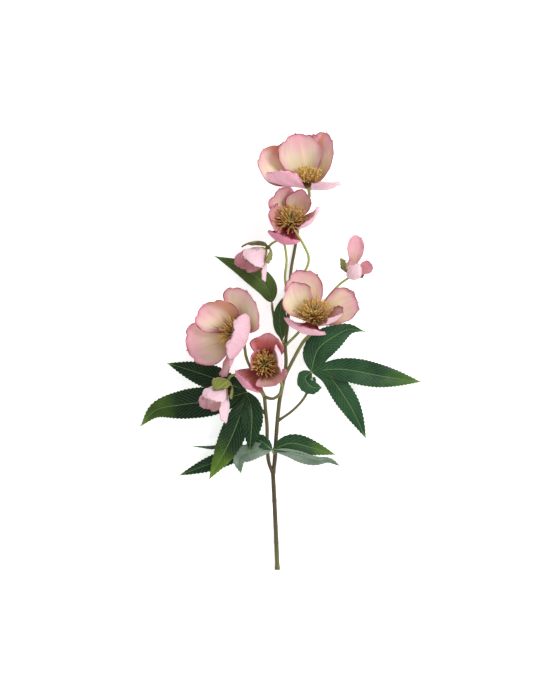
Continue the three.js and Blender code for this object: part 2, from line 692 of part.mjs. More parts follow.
const LEAVES = {
  right: {
    teeth: 7,
    leaflets: [
      { half: 13, path: [[33, 2, 16], [47, 13, 14], [60, 19, 11.5], [73.5, 17, 8]], peak: 0.36, full: 2.2 },
      { half: 11.5, path: [[52, -15, 19], [87, -21, 12], [121, -26, 0.2]], peak: 0.45 },
      { half: 10, path: [[41, -21, 17], [57, -41, 10], [66, -57, 5], [74, -74.5, 2]], peak: 0.45 },
      { half: 8.5, teeth: 5, path: [[22, -23, 19], [27.5, -30, 18], [36, -31, 13]], peak: 0.45 },
    ],
  },
  left: {
    teeth: 7,
    leaflets: [
      { half: 11, path: [[-44, -27, 20], [-68, -18.5, 14], [-96, -10, 8]], peak: 0.45 },
      { half: 13.5, path: [[-50, -41, 22], [-81, -45, 17], [-105, -50, 9], [-119, -64, 0.2]], peak: 0.42 },
      { half: 11.5, path: [[-33, -53, 24], [-44, -80, 20], [-60, -109, 13]], peak: 0.45 },
      { half: 10, path: [[-23.5, -52, 24], [-24, -70, 24], [-25.5, -86, 22]], peak: 0.4 },
    ],
  },
  fork_front: {
    teeth: 4,
    leaflets: [
      { half: 8.5, path: [[10, -78, 20], [28, -82, 17], [48, -88, 13]], peak: 0.4 },
      { half: 8, path: [[12, -87, 17], [31, -93, 10], [43, -93, 7], [52, -98, 4]], faces: [0, -0.8, 0.6] },
      { half: 8, path: [[-20, -84, 20.5], [-34, -91, 15], [-33, -104, 10]], peak: 0.45 },
      { half: 6, path: [[-13, -78, 21], [-19, -75, 19], [-24, -79, 16]], peak: 0.5 },
    ],
  },
  fork_back: {
    teeth: 4,
    leaflets: [
      { half: 7.5, path: [[-38, -88, 9.5], [-62, -97, 6], [-86, -106, 1]], peak: 0.45 },
      { half: 6, path: [[-40, -81, 11], [-58, -82, 10.5], [-75, -81, 9]], faces: [0, 0.9, 0.3] },
    ],
  },
  bract_left: {
    leaflets: [{ half: 9.5, path: [[-11.5, 56, 11], [-28, 69, 8], [-56.5, 82, 4]], peak: 0.33 }],
  },
  bract_middle: {
    leaflets: [{ half: 6, path: [[0.6, 20, 15], [0.5, 34, 14], [2.5, 46, 12]], peak: 0.45 }],
  },
  bract_upper: {
    leaflets: [{ half: 5, path: [[22, 53, 5.5], [33, 66.5, 5]], peak: 0.45 }],
  },
};

// ---------- Colours and finishes ----------
const finish = (color, roughness) => new THREE.MeshStandardMaterial({ color, roughness, metalness: 0 });
const STEM_FINISH = finish(0x6b6a3c, 0.6);
const LEAF_FINISH = finish(0x24482f, 0.5);
const BRACT_FINISH = finish(0x6f7f2c, 0.6);
const SEPAL_FINISH = finish(0xe9b3b9, 0.6);
const STAMEN_FINISH = finish(0xc9a13e, 0.6);
const NECTARY_FINISH = finish(0x7a3226, 0.5);
const CARPEL_FINISH = finish(0xb9b04a, 0.6);

// ---------- Assembly ----------
function facing({ base, axis }) {
  const group = new THREE.Group();
  const out = new THREE.Vector3(...axis).normalize();
  const up = new THREE.Vector3(0, 1, 0).addScaledVector(out, -out.y).normalize();
  group.quaternion.setFromRotationMatrix(
    new THREE.Matrix4().makeBasis(up, new THREE.Vector3().crossVectors(out, up), out),
  );
  group.position.set(...base);
  return group;
}

function stem() {
  const parts = Object.values(STALKS).map(({ radius, path }) =>
    tube(curveThrough(path), (t) => mix(radius[0], radius[1], t), { sides: sidesFor(radius) }),
  );
  for (const { radius, path } of Object.values(LEAF_STALKS)) {
    const curve = curveThrough(path);
    const to = 1 - (HUB + GAP) / curve.getLength();
    const sides = sidesFor(radius);
    parts.push(tube(curve, (t) => mix(radius[0], radius[1], t), { to, sides, step: 8 }));
  }
  return fuse(parts);
}

const FLOOR = [0, 0, 1];
const rested = (solid) => solid.trimByPlane(FLOOR, 0);

const flower = new THREE.Group();
flower.add(mesh("stem", rested(stem()), STEM_FINISH));
for (const [name, leaf] of Object.entries(LEAVES)) {
  flower.add(mesh(`leaf_${name}`, rested(leafBody(name, leaf)), LEAF_FINISH));
}
Object.entries(BLOOMS).forEach(([name, bloom], index) => {
  const group = facing(bloom);
  const sepals = fuse([neck(), ...sepalBlades(bloom.sepals)]);
  const room = wasm.Manifold.union([
    ...sepalBlades(bloom.sepals, SEPAL_THICK + 2 * GAP).map(solidOf),
    solidOf(carpelRoom()),
  ]);
  const stamens = stamenBody(11 + index, bloom.stamens, bloom.spread);
  group.add(
    mesh(`sepals_${name}`, sepals, SEPAL_FINISH),
    mesh(`nectaries_${name}`, clearOf(nectaryBody(), room), NECTARY_FINISH),
    mesh(`stamens_${name}`, clearOf(stamens, room), STAMEN_FINISH),
    mesh(`carpels_${name}`, carpelBody(), CARPEL_FINISH),
  );
  flower.add(group);
});
for (const [name, bud] of Object.entries(BUDS)) {
  const group = facing(bud);
  group.add(
    mesh(`bud_${name}`, fuse([neck(), ...budBlades(bud.sepals)]), SEPAL_FINISH),
    mesh(`bracts_${name}`, bractBody(bud.bracts), BRACT_FINISH),
  );
  flower.add(group);
}
flower.position.copy(LAY_AT);

export default flower;
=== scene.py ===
"""A cut flowering stem of Lenten rose (Helleborus x hybridus), lying on its back on a pale floor.

Its plan is in millimetres: +Y runs from the cut end to the topmost bloom, +X to its right, and +Z up
from the floor. Every piece stands for the solid of the same form in the frame, on the body "root".
"""

import math

import bpy
import numpy as np
from mathutils import Matrix, Vector


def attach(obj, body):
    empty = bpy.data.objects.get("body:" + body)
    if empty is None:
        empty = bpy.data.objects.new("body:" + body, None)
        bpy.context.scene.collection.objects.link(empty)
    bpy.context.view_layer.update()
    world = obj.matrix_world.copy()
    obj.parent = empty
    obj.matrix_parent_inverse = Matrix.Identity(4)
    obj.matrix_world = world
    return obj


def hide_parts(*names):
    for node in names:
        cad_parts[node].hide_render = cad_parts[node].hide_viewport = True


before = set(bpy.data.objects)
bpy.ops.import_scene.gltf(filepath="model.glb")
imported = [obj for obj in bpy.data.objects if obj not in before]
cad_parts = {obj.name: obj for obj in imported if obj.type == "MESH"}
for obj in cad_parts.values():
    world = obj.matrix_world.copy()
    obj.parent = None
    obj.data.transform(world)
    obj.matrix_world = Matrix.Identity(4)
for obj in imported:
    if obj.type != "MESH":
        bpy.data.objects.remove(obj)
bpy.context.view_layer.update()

# ---------- Driving sizes, in millimetres ----------
MM = 0.001  # a millimetre in metres, which the pieces are made in
LAY_AT = np.array([-0.9, -0.75, 0.0])  # puts the middle of the laid-out stem over the floor's origin
SEPAL_THICK = 0.55
LEAF_THICK = 0.55
GAP = 0.3
NECK = 4.0  # the stalk's flared end that belongs to a bloom, along its axis
NECK_RADIUS = 1.4
CUP_RADIUS = 4.2
CUP_HEIGHT = 1.6
COLLAR = 3.0
COLLAR_RADIUS = 1.9
HUB = 3.0  # the end of a leaf's stalk that belongs to its blade
BUD_BACK = NECK + GAP + COLLAR + GAP


# ---------- Sums on points ----------
def unit(vectors):
    return vectors / np.linalg.norm(vectors, axis=-1, keepdims=True)


def mix(a, b, t):
    return a + (b - a) * t


def smooth(x, low, high):
    t = np.clip((x - low) / (high - low), 0, 1)
    return t * t * (3 - 2 * t)


def hump(x, wide):
    """1 at nothing, and about a third at `wide` to either side."""
    return np.exp(-((x / wide) ** 2))


class Path:
    """A smooth line through given points, asked for by its share of the length."""

    def __init__(self, points, steps=80):
        p = np.array(points, float)
        p = np.vstack([2 * p[0] - p[1], p, 2 * p[-1] - p[-2]])
        t = np.linspace(0, 1, steps, endpoint=False)[:, None]
        line = []
        for a, b, c, d in zip(p, p[1:], p[2:], p[3:]):
            ab, bc, cd = (np.linalg.norm(y - x) ** 0.5 for x, y in ((a, b), (b, c), (c, d)))
            start = (b - a) / ab - (c - a) / (ab + bc) + (c - b) / bc
            end = (c - b) / bc - (d - b) / (bc + cd) + (d - c) / cd
            line.append(
                (2 * t**3 - 3 * t**2 + 1) * b
                + (t**3 - 2 * t**2 + t) * start * bc
                + (3 * t**2 - 2 * t**3) * c
                + (t**3 - t**2) * end * bc
            )
        self.line = np.vstack([*line, p[-2]])
        run = np.cumsum(np.linalg.norm(np.diff(self.line, axis=0), axis=1))
        self.length = run[-1]
        self.share = np.concatenate([[0], run]) / run[-1]

    def at(self, share):
        return np.stack([np.interp(share, self.share, self.line[:, k]) for k in range(3)], -1)

    def along(self, share):
        near = 0.004
        return unit(self.at(np.minimum(share + near, 1)) - self.at(np.maximum(share - near, 0)))


# ---------- Shells ----------
class Piece:
    """Closed shells gathered into one object, each point with the values that its paint reads."""

    PAINT = (
        "span", "along", "edge", "inner", "tone", "stain",
        "gold", "vein", "seed", "deep", "yellow", "pale",
    )

    def __init__(self):
        self.points = []
        self.faces = []
        self.values = {name: [] for name in self.PAINT}
        self.slots = []
        self.count = 0

    def add(self, points, faces, slot=0, **values):
        self.points.append(points)
        self.faces.extend(tuple(int(k) + self.count for k in face) for face in faces)
        self.slots.extend([slot] * len(faces))
        for name in self.PAINT:
            self.values[name].append(np.broadcast_to(values.get(name, 0.0), len(points)))
        self.count += len(points)

    def make(self, name, materials, place=None):
        """The object, set at its place on the plan and brought down to metres, none of it below z = 0."""
        points = np.vstack(self.points)
        if place is not None:
            points = points @ place[:3, :3].T + place[:3, 3]
        points = points + LAY_AT
        points[:, 2] = np.maximum(points[:, 2], 0)
        mesh = bpy.data.meshes.new(name)
        mesh.from_pydata((points * MM).tolist(), [], self.faces)
        for key in self.PAINT:
            value = np.concatenate(self.values[key]).astype(np.float32)
            if value.any():
                mesh.attributes.new(key, "FLOAT", "POINT").data.foreach_set("value", value)
        mesh.polygons.foreach_set("material_index", self.slots)
        return finish_piece(name, mesh, materials)


def finish_piece(name, mesh, materials):
    """A smooth-shaded object from a mesh, in the scene, with its materials in their order."""
    for material in materials:
        mesh.materials.append(material)
    mesh.polygons.foreach_set("use_smooth", [True] * len(mesh.polygons))
    mesh.update()
    piece = bpy.data.objects.new(name, mesh)
    bpy.context.scene.collection.objects.link(piece)
    return piece


def facing(base, axis):
    """The place of a bloom or bud: its own +Z along its axis and its own +X up the plan."""
    out = unit(np.array(axis, float))
    up = unit(np.array([0.0, 1.0, 0.0]) - out * out[1])
    place = np.eye(4)
    place[:3, :3] = np.column_stack([up, np.cross(out, up), out])
    place[:3, 3] = base
    return place


def loft(piece, rings, **values):
    """A closed tube through rings of equal size, each end closed round its middle point."""
    count, sides = rings.shape[:2]
    points = np.vstack([rings.reshape(-1, 3), rings[0].mean(0), rings[-1].mean(0)])
    faces = []
    for i in range(count - 1):
        for j in range(sides):
            a, b = i * sides + j, i * sides + (j + 1) % sides
            faces.append((a, b, b + sides, a + sides))
    first, last, end = count * sides, count * sides + 1, (count - 1) * sides
    for j in range(sides):
        after = (j + 1) % sides
        faces.append((first, after, j))
        faces.append((last, end + j, end + after))
    spread = {
        name: np.concatenate([np.repeat(value, sides), [value[0], value[-1]]])
        for name, value in values.items()
        if isinstance(value, np.ndarray)
    }
    piece.add(points, faces, **{**values, **spread})


def rings_along(path, shares, radii, sides, ribs=0.0):
    """Rings round a path, turned as little as may be from one to the next."""
    along = path.along(shares)
    centres = path.at(shares)
    side = np.array([along[0][2], 1e-3, -along[0][0]])
    turns = np.linspace(0, 2 * np.pi, sides, endpoint=False)
    rings = []
    for centre, way, radius in zip(centres, along, radii):
        side = unit(side - way * (side @ way))
        up = np.cross(way, side)
        size = radius * (1 + ribs * np.cos(5 * turns))[:, None]
        rings.append(centre + size * (np.cos(turns)[:, None] * side + np.sin(turns)[:, None] * up))
    return np.array(rings)


def revolve(piece, profile, sides=28, **values):
    """A closed round body from (radius, height) pairs, from its lowest middle point to its highest."""
    turns = np.linspace(0, 2 * np.pi, sides, endpoint=False)
    rings = [
        np.column_stack([r * np.cos(turns), r * np.sin(turns), np.full(sides, z)]) for r, z in profile
    ]
    loft(piece, np.array(rings), **values)


def sheet(piece, middle, thick, **values):
    """A closed sheet with both its faces off the grid of points `middle`, thinned to its margin.

    Its inner face is on the side that the rows' way, crossed with the columns' way, points to.
    """
    rows, columns = middle.shape[:2]
    out = unit(np.cross(np.gradient(middle, axis=0), np.gradient(middle, axis=1)))
    rim = np.ones((rows, columns), bool)
    rim[1:-1, 1:-1] = False
    lined = np.vstack([middle[1:, 0], middle[1:, -1], middle[-1]])
    edge = np.min(np.linalg.norm(middle[:, :, None] - lined, axis=-1), axis=2)
    half = thick / 2 * np.minimum(1, 0.35 + edge / 1.2)
    half[rim] = 0
    inner = middle + out * half[..., None]
    outer = (middle - out * half[..., None])[~rim]
    inside = np.arange(rows * columns).reshape(rows, columns)
    outside = inside.copy()
    outside[~rim] = rows * columns + np.arange((~rim).sum())

    def quads(index):
        a, b = index[:-1, :-1].ravel(), index[:-1, 1:].ravel()
        return np.column_stack([a, index[1:, :-1].ravel(), index[1:, 1:].ravel(), b])

    faces = np.vstack([quads(inside), quads(outside)[:, ::-1]])
    values = {**values, "edge": edge}
    both = {
        name: np.concatenate([value.ravel(), value[~rim]])
        for name, value in values.items()
        if isinstance(value, np.ndarray)
    }
    inward = np.concatenate([np.ones(rows * columns), np.zeros((~rim).sum())])
    inward[: rows * columns][rim.ravel()] = 0.5
    points = np.vstack([inner.reshape(-1, 3), outer])
    piece.add(points, faces, **{**values, **both, "inner": inward})


def bent(u, wide, fold, cup, curl=0.0):
    """How far a blade's point lies to the side of its middle line and above it."""
    steps = 6
    far = np.abs(u)
    side = lift = 0.0
    for i in range(steps):
        t = far * (i + 0.5) / steps
        turn = fold + cup * t + curl * t**4
        side = side + np.cos(turn) * far / steps
        lift = lift + np.sin(turn) * far / steps
    return np.sign(u) * side * wide, lift * wide


def columns_across(count):
    """Shares of the half width from -1 to 1, closer together by the margins."""
    even = np.linspace(-1, 1, count)
    return 0.4 * even + 0.6 * np.sin(even * np.pi / 2)


# ---------- Sepals and bracts ----------
SEPAL_BASE = 0.24
SEPAL_PEAK = 0.6
SEPAL_POINT = 0.96  # where the round top ends and the small point starts
SEPAL_START = (3.2, 0.6)
BRACT_START = (0.8, -(NECK + GAP + COLLAR / 2))


def sepal_outline(v):
    """Half width along a sepal as a share of its widest: a broad claw, a round top, a small point."""
    point = 0.3 * (1 - v) ** 0.8 + 0.006
    claw = mix(SEPAL_BASE, 1, np.sin(np.minimum(v / SEPAL_PEAK, 1) * np.pi / 2) ** 1.1)
    t = np.clip((v - SEPAL_PEAK) / (SEPAL_POINT - SEPAL_PEAK), 0, 1)
    top = np.maximum(np.sqrt(np.maximum(0, 1 - t**2.4)), point)
    return np.where(v <= SEPAL_PEAK, claw, top)


def sepal_rows(body=22, top=22, point=4):
    """Shares of the length, closer together towards the end of the round top."""
    lower = np.linspace(0, SEPAL_PEAK, body, endpoint=False)
    round_top = mix(SEPAL_PEAK, SEPAL_POINT, np.sin(np.linspace(0, np.pi / 2, top, endpoint=False)))
    return np.concatenate([lower, round_top, np.linspace(SEPAL_POINT, 1, point)])


def leaf_outline(v, peak, full):
    """Half width along a leaflet as a share of its widest."""
    t = np.clip(v, 1e-4, 1 - 1e-4)
    rise = (t / peak) ** (full * peak)
    fall = ((1 - t) / (1 - peak)) ** (full * (1 - peak))
    return np.maximum(rise * fall, 0.035)


def bract_outline(v):
    return leaf_outline(v, 0.5, 1.5)


def spine(v, long, rise, start):
    """The line up the middle of a sepal: how far out and up it lies, and its angle, at each share."""
    foot, middle, tip = np.radians(rise)

    def angle(t):
        return foot * (1 - t) * (1 - 2 * t) + middle * 4 * t * (1 - t) + tip * t * (2 * t - 1)

    steps = 24
    turns = angle((np.arange(steps) + 0.5) / steps)
    stops = np.linspace(0, 1, steps + 1)
    out = start[0] + np.concatenate([[0], np.cumsum(np.cos(turns))]) * long / steps
    up = start[1] + np.concatenate([[0], np.cumsum(np.sin(turns))]) * long / steps
    return np.interp(v, stops, out), np.interp(v, stops, up), angle(v)


def add_sepal(piece, sepal, rows, columns, start=SEPAL_START, outline=sepal_outline, seed=0.0):
    """One sepal or bract, in the frame of its bloom, by its own row of values.

    turn: its place round the axis, in degrees. long, half: its length and its greatest half width.
    rise: how steep it is at its foot, its middle and its tip, in degrees. cup: how far it is hollowed
    across. curl: how far its two margins turn in, or out where it is below 0. lean: its tilt about its
    middle line, in degrees. layer: how far it is lifted over its neighbours. sway: how far its tip
    bends to the side. cleft: how deep its tip is notched. phase: where its waves start.
    """
    shape = {"cup": 0.7, "curl": (0, 0), "lean": 0, "phase": 0, "layer": 0, "sway": 0, "cleft": 0, **sepal}
    u, v = np.meshgrid(columns, rows)
    phase = shape["phase"]
    inmost = u * (1 - smooth(v, 0.86, 0.96))
    notch = 0.025 * (1 - np.sin(7 * inmost + phase)) + shape["cleft"] * hump(inmost, 0.3)
    uneven = 1 - notch * v * v
    out, up, angle = spine(v * uneven, shape["long"], shape["rise"], start)
    wide = shape["half"] * outline(v) * (1 + 0.03 * np.sin(9 * v + phase + 2 * u))
    cupped = shape["cup"] * mix(0.3, 1, smooth(v, 0, 0.35))
    curled = np.where(u > 0, shape["curl"][1], shape["curl"][0]) * smooth(v, 0.2, 0.8)
    side, lift = bent(u, wide, 0, cupped, curled)
    calm = 1 - smooth(v, 0.9, 0.97)
    wave = 1.3 * np.sin(8 * v * np.sign(u) + phase) * u * u * smooth(v, 0.3, 0.9) * calm
    frill = 0.6 * np.sin(21 * v + 6 * u + 3 * phase) * np.abs(u) ** 4 * smooth(v, 0.25, 0.6) * calm
    pleat = 0.25 * np.cos(8.5 * u + phase) * smooth(v, 0.05, 0.4) * (1 - 0.6 * v)
    crease = -0.45 * hump(u, 0.07) * smooth(v, 0.04, 0.3) * (1 - smooth(v, 0.5, 0.95))
    side = side + shape["sway"] * v * v
    height = lift + wave + frill + pleat + crease
    tilt = math.radians(shape["lean"]) * smooth(v, 0, 0.4)
    y = side * np.cos(tilt) - height * np.sin(tilt)
    n = side * np.sin(tilt) + height * np.cos(tilt)
    x = out - n * np.sin(angle)
    z = up + shape["layer"] * smooth(v, 0, 0.25) + n * np.cos(angle)
    turn = math.radians(shape["turn"])
    middle = np.stack(
        [x * math.cos(turn) - y * math.sin(turn), x * math.sin(turn) + y * math.cos(turn), z], -1
    )
    paint = {key: shape.get(key, 0.0) for key in ("tone", "stain", "gold")}
    sheet(piece, middle, SEPAL_THICK, span=u, along=v, seed=seed + shape["turn"] / 57, **paint)


def add_neck(piece):
    """The flared end of the stalk and the receptacle that the sepals spring from, in stalk finish."""
    profile = [
        (NECK_RADIUS - 0.15, -NECK - 0.6),
        (NECK_RADIUS, -NECK),
        (NECK_RADIUS + 0.2, -2.8),
        (NECK_RADIUS + 0.9, -1.4),
        (CUP_RADIUS - 0.5, -0.5),
        (CUP_RADIUS, 0.2),
        (CUP_RADIUS + 0.1, CUP_HEIGHT - 0.6),
        (CUP_RADIUS - 0.3, CUP_HEIGHT),
        (CUP_RADIUS - 1.6, CUP_HEIGHT + 0.1),
    ]
    revolve(piece, profile, slot=1, tone=0.8)


def add_collar(piece):
    """The green collar behind a bud's neck, which its bracts spring from."""
    back = -(NECK + GAP + COLLAR)
    profile = [
        (1.0, back - 0.6),
        (1.25, back),
        (COLLAR_RADIUS, back + 0.8),
        (COLLAR_RADIUS, back + 2.4),
        (1.5, back + COLLAR),
    ]
    revolve(piece, profile, 20, edge=5.0)


# ---------- Blooms ----------
# `base` is the middle of the receptacle and `axis` the way the bloom looks. A sepal's turn is counted
# anticlockwise from the top, as the bloom is seen from the front. `tone` runs from a pale, cream
# sepal at 0 to a dusky rose one at 1, and below 0 is paler still. `stain` darkens its foot in
# wine red, partly its own dark eye and partly painted shade under the stamens. `gold` gives it a
# tawny band on one side, which is painted shade where a margin folds over. `stamens` is how far they
# reach, and `spread` about how steeply, in degrees, the outermost and the innermost ones rise. PHASES
# is where the waves of the first to the fifth sepal start, unless a sepal has a phase of its own.
PHASES = (0.4, 1.4, 2.1, 3.3, 4.9)
BLOOMS = {
    "top": {
        "base": (25, 139.5, 24),
        "axis": (-0.04, 0.87, 0.5),
        "stamens": 13,
        "spread": (50, 74),
        "sepals": [
            dict(turn=27, long=47, half=20, rise=(35, 64, 68), cup=0.6, lean=-8, layer=1, tone=0.12),
            dict(turn=68, long=51, half=22, rise=(14, 36, 62),
                 cup=0.8, phase=2.1, lean=-28, gold=-1, tone=-0.5),
            dict(turn=126, long=44, half=14, rise=(10, 40, 52),
                 cup=0.6, phase=3.3, lean=40, layer=1, tone=0.5),
            dict(turn=233, long=29, half=14.5, rise=(-12, 34, 55), cup=0.5, phase=4.9, lean=-30, tone=0.1),
            dict(turn=322, long=49, half=17, rise=(32, 58, 64),
                 cup=0.7, phase=0.9, sway=5, tone=0.1, gold=1.8),
        ],
    },
    "upper": {
        "base": (9.5, 108, 13),
        "axis": (0.05, 0.42, 0.9),
        "stamens": 14,
        "spread": (40, 70),
        "sepals": [
            dict(turn=25, long=35.5, half=14, rise=(12, 52, 80),
                 cup=0.9, curl=(-2.4, -1.6), lean=6, tone=0.45, stain=0.8),
            dict(turn=338, long=33, half=13, rise=(12, 48, 80),
                 cup=0.9, lean=9, layer=0.8, tone=0.45, stain=0.8),
            dict(turn=94, long=31, half=15, rise=(12, 54, 95),
                 cup=0.9, lean=-7, layer=1.2, tone=0.66, stain=1),
            dict(turn=160, long=38, half=17, rise=(-10, 45, 160), cup=0.9, tone=1, stain=1),
            dict(turn=256, long=34, half=16, rise=(8, 62, 112), cup=0.8, lean=-28, tone=0.3, stain=0.9),
        ],
    },
    "left": {
        "base": (-34.8, 14, 26),
        "axis": (-0.42, 0.12, 0.9),
        "stamens": 14,
        "spread": (36, 66),
        "sepals": [
            dict(turn=328, long=38, half=22.5, rise=(10, 25, 15), cup=0.6, sway=9, tone=-0.5, stain=0.2),
            dict(turn=36, long=37, half=20, rise=(12, 36, 28),
                 cup=0.7, sway=7, layer=1.2, tone=0.35, stain=1, gold=-0.9),
            dict(turn=112, long=44, half=22, rise=(8, 20, 15), cup=0.7, sway=-2, tone=0.32, stain=0.4),
            dict(turn=186, long=34.3, half=13.7, rise=(14, 32, 18), cup=0.8, lean=44, sway=-14, tone=0.45),
            dict(turn=251, long=45.8, half=21.4, rise=(16, 88, 155), cup=0.5, cleft=0.08, tone=0.22),
        ],
    },
    "middle": {
        "base": (-13, -13, 30),
        "axis": (0, 0.25, 0.97),
        "stamens": 12.7,
        "spread": (46, 72),
        "sepals": [
            dict(turn=349, long=34, half=17, rise=(12, 50, 80), cup=0.9, tone=0.85, stain=0.6),
            dict(turn=66, long=27, half=9.5, rise=(35, 74, 100), cup=0.8, layer=0.6, tone=0.8, stain=0.5),
            dict(turn=138, long=40, half=16, rise=(-5, 40, 175), cup=0.7, tone=0.8, stain=0.5),
            dict(turn=205, long=31, half=16, rise=(5, 50, 60), cup=0.6, layer=0.5, tone=0.62, stain=0.9),
            # Painted light: this sepal's tone below 0 makes it paler, to brighten a face turned away from the
            # lamps.
            dict(turn=280, long=36, half=14, rise=(15, 78, 150), cup=0.6, tone=-0.5, stain=0.6),
        ],
    },
    "right": {
        "base": (29.8, 25, 27),
        "axis": (0, 0.72, 0.69),
        "stamens": 16,
        "spread": (38, 68),
        "sepals": [
            dict(turn=28, long=47, half=19, rise=(15, 52, 62), cup=0.7, layer=0.6, tone=-0.1, stain=0.8),
            dict(turn=60, long=43, half=16, rise=(26, 63, 100),
                 cup=0.7, lean=-28, layer=1.6, tone=-0.3, stain=0.6),
            dict(turn=152, long=37, half=21, rise=(-20, 40, 90), cup=0.6, layer=0.4, tone=0.45, stain=1),
            dict(turn=238, long=38, half=14, rise=(14, 48, 66), cup=1.0, curl=(0, 1.4), tone=0.2, stain=0.6),
            dict(turn=282, long=41, half=22, rise=(10, 28, 15), cup=0.6, tone=-0.2, stain=0.8),
        ],
    },
}

# Buds: small sepals that still hold together, on a collar of green bracts.
BUDS = {
    "upper": {
        "base": (-13.4, 85.6, 18),
        "axis": (-0.6, -0.55, 0.58),
        "sepals": [
            dict(turn=15, long=24, half=9, rise=(40, 78, 100), cup=0.9, tone=0.5),
            dict(turn=84, long=27, half=9.5, rise=(34, 60, 82), cup=0.8, tone=0.6),
            dict(turn=142, long=24, half=8, rise=(40, 76, 96), cup=0.9, tone=0.5),
            dict(turn=205, long=27, half=6.5, rise=(32, 52, 50), cup=0.8, lean=42, layer=0.6),
            dict(turn=306, long=28, half=11.5, rise=(48, 76, 96), cup=0.8, layer=1),
        ],
        "bracts": [
            dict(turn=18, long=29, half=7, rise=(15, 60, 85), cup=0.4),
            dict(turn=256, long=26, half=5, rise=(15, 62, 85), cup=0.4),
        ],
    },
    "right": {
        "base": (62.5, 68.5, 25),
        "axis": (0.15, 0.35, 0.92),
        "sepals": [
            dict(turn=355, long=29, half=8, rise=(28, 30, 10), cup=0.8, tone=0.5, stain=0.45),
            dict(turn=60, long=16, half=5.5, rise=(40, 80, 95), cup=0.9, tone=0.4),
            dict(turn=164, long=35, half=6.5, rise=(12, 96, 160), cup=0.6),
            dict(turn=265, long=16, half=8, rise=(24, 40, 20), cup=1.1, tone=0.65),
        ],
        "bracts": [
            dict(turn=62, long=23, half=4, rise=(12, 58, 66), cup=0.4),
            dict(turn=236, long=15, half=3.5, rise=(12, 50, 75), cup=0.4),
        ],
    },
    "left": {
        "base": (-47.2, -29.3, 33),
        "axis": (-0.5, -0.7, 0.5),
        "sepals": [
            dict(turn=40, long=24, half=9, rise=(42, 76, 92), cup=0.9, tone=0.1),
            dict(turn=98, long=26, half=9, rise=(40, 66, 80), cup=0.8, tone=0.2),
            dict(turn=150, long=24, half=9, rise=(42, 76, 92), cup=0.9),
            dict(turn=212, long=33, half=9.5, rise=(34, 64, 64), cup=0.9, lean=42, layer=0.6),
            dict(turn=322, long=27, half=11, rise=(44, 72, 90), cup=0.8, layer=1),
        ],
        "bracts": [
            dict(turn=325, long=27, half=8, rise=(12, 64, 96), cup=0.4),
            dict(turn=246, long=22, half=5, rise=(12, 58, 85), cup=0.4),
        ],
    },
}

# ---------- Stem ----------
FORK = (-5.5, -104, 12)
LEFT_NODE = (-12.8, -38.7, 18)
RIGHT_NODE = (3.8, -22.5, 14)
MIDDLE_NODE = (4.7, 4.7, 10.5)
UPPER_NODE = (8, 47, 6)


def stalk_to(bloom, back=NECK + GAP):
    """The end of a stalk at a bloom, a little behind its receptacle and in line with its axis."""
    base, out = np.array(bloom["base"], float), unit(np.array(bloom["axis"], float))
    return [tuple(base - out * (back + 5)), tuple(base - out * back)]


# `radius` and `tone` are given for both ends of a stalk. A tone of 0 is brown and one of 1 is yellow
# green. `joints` are shares of the length, and `step` is how finely the stalk is cut.
STALKS = {
    "main": dict(
        radius=(1.95, 1.85),
        tone=(0.35, 0.0),
        joints=(0.28, 0.72),
        step=0.8,
        path=[(-1.7, -186.6, 1.7), (-2.6, -165, 2.8), (-4, -134, 8), FORK],
    ),
    "left_arm": dict(
        radius=(1.55, 1.5),
        tone=(0.1, 0.3),
        path=[FORK, (-9, -95, 14.5), (-10.4, -80, 16.5), (-10.6, -64, 17.5), (-11.8, -50, 18), LEFT_NODE],
    ),
    "right_arm": dict(
        radius=(1.75, 1.65),
        tone=(0.1, 0.3),
        path=[FORK, (-4, -92, 13), (-3, -75, 14), (-1.7, -58, 14), (0, -42, 14), RIGHT_NODE],
    ),
    "to_right_bloom": dict(
        radius=(1.55, 1.4),
        tone=(0.35, 0.8),
        path=[RIGHT_NODE, (13.2, -4, 17), (20.8, 9, 20), *stalk_to(BLOOMS["right"])],
    ),
    "to_middle_node": dict(
        radius=(1.6, 1.5),
        tone=(0.3, 0.4),
        path=[RIGHT_NODE, (5.5, -8.9, 12), MIDDLE_NODE],
    ),
    "to_upper_node": dict(
        radius=(1.5, 1.4),
        tone=(0.3, 0.1),
        path=[MIDDLE_NODE, (7.2, 26.8, 8), UPPER_NODE],
    ),
    "to_top_bloom": dict(
        radius=(1.4, 1.3),
        tone=(0.1, 0.8),
        path=[UPPER_NODE, (9.8, 69, 3), (13.5, 90, 1.2), (17.5, 112, 5), *stalk_to(BLOOMS["top"])],
    ),
    "to_upper_bloom": dict(
        radius=(1.15, 1.15),
        tone=(0.8, 1.0),
        path=[UPPER_NODE, (18, 62, 10), (25, 78, 12), (20, 92, 10), (13, 102, 7), *stalk_to(BLOOMS["upper"])],
    ),
    "to_upper_bud": dict(
        radius=(1.1, 1.05),
        tone=(0.8, 1.0),
        path=[UPPER_NODE, (4.7, 62, 9), (6, 80, 12), (2, 95, 14), *stalk_to(BUDS["upper"], BUD_BACK)],
    ),
    "to_right_bud": dict(
        radius=(1.15, 1.05),
        tone=(0.7, 1.0),
        path=[MIDDLE_NODE, (15.7, 15.7, 13), (36, 40, 15), (51, 57, 13.5)]
        + stalk_to(BUDS["right"], BUD_BACK),
    ),
    "to_left_bloom": dict(
        radius=(1.4, 1.3),
        tone=(0.4, 0.8),
        path=[LEFT_NODE, (-19, -24, 19), (-28, -6, 17), *stalk_to(BLOOMS["left"])],
    ),
    "to_middle_bloom": dict(
        radius=(1.3, 1.25),
        tone=(0.4, 0.9),
        path=[LEFT_NODE, (-5, -40, 20), (2, -33, 21), (-1, -22, 19.5), *stalk_to(BLOOMS["middle"])],
    ),
    "to_left_bud": dict(
        radius=(1.15, 1.15),
        tone=(0.6, 1.0),
        path=[LEFT_NODE, (-18, -31, 23), (-27, -21, 30), *stalk_to(BUDS["left"], BUD_BACK)],
    ),
}

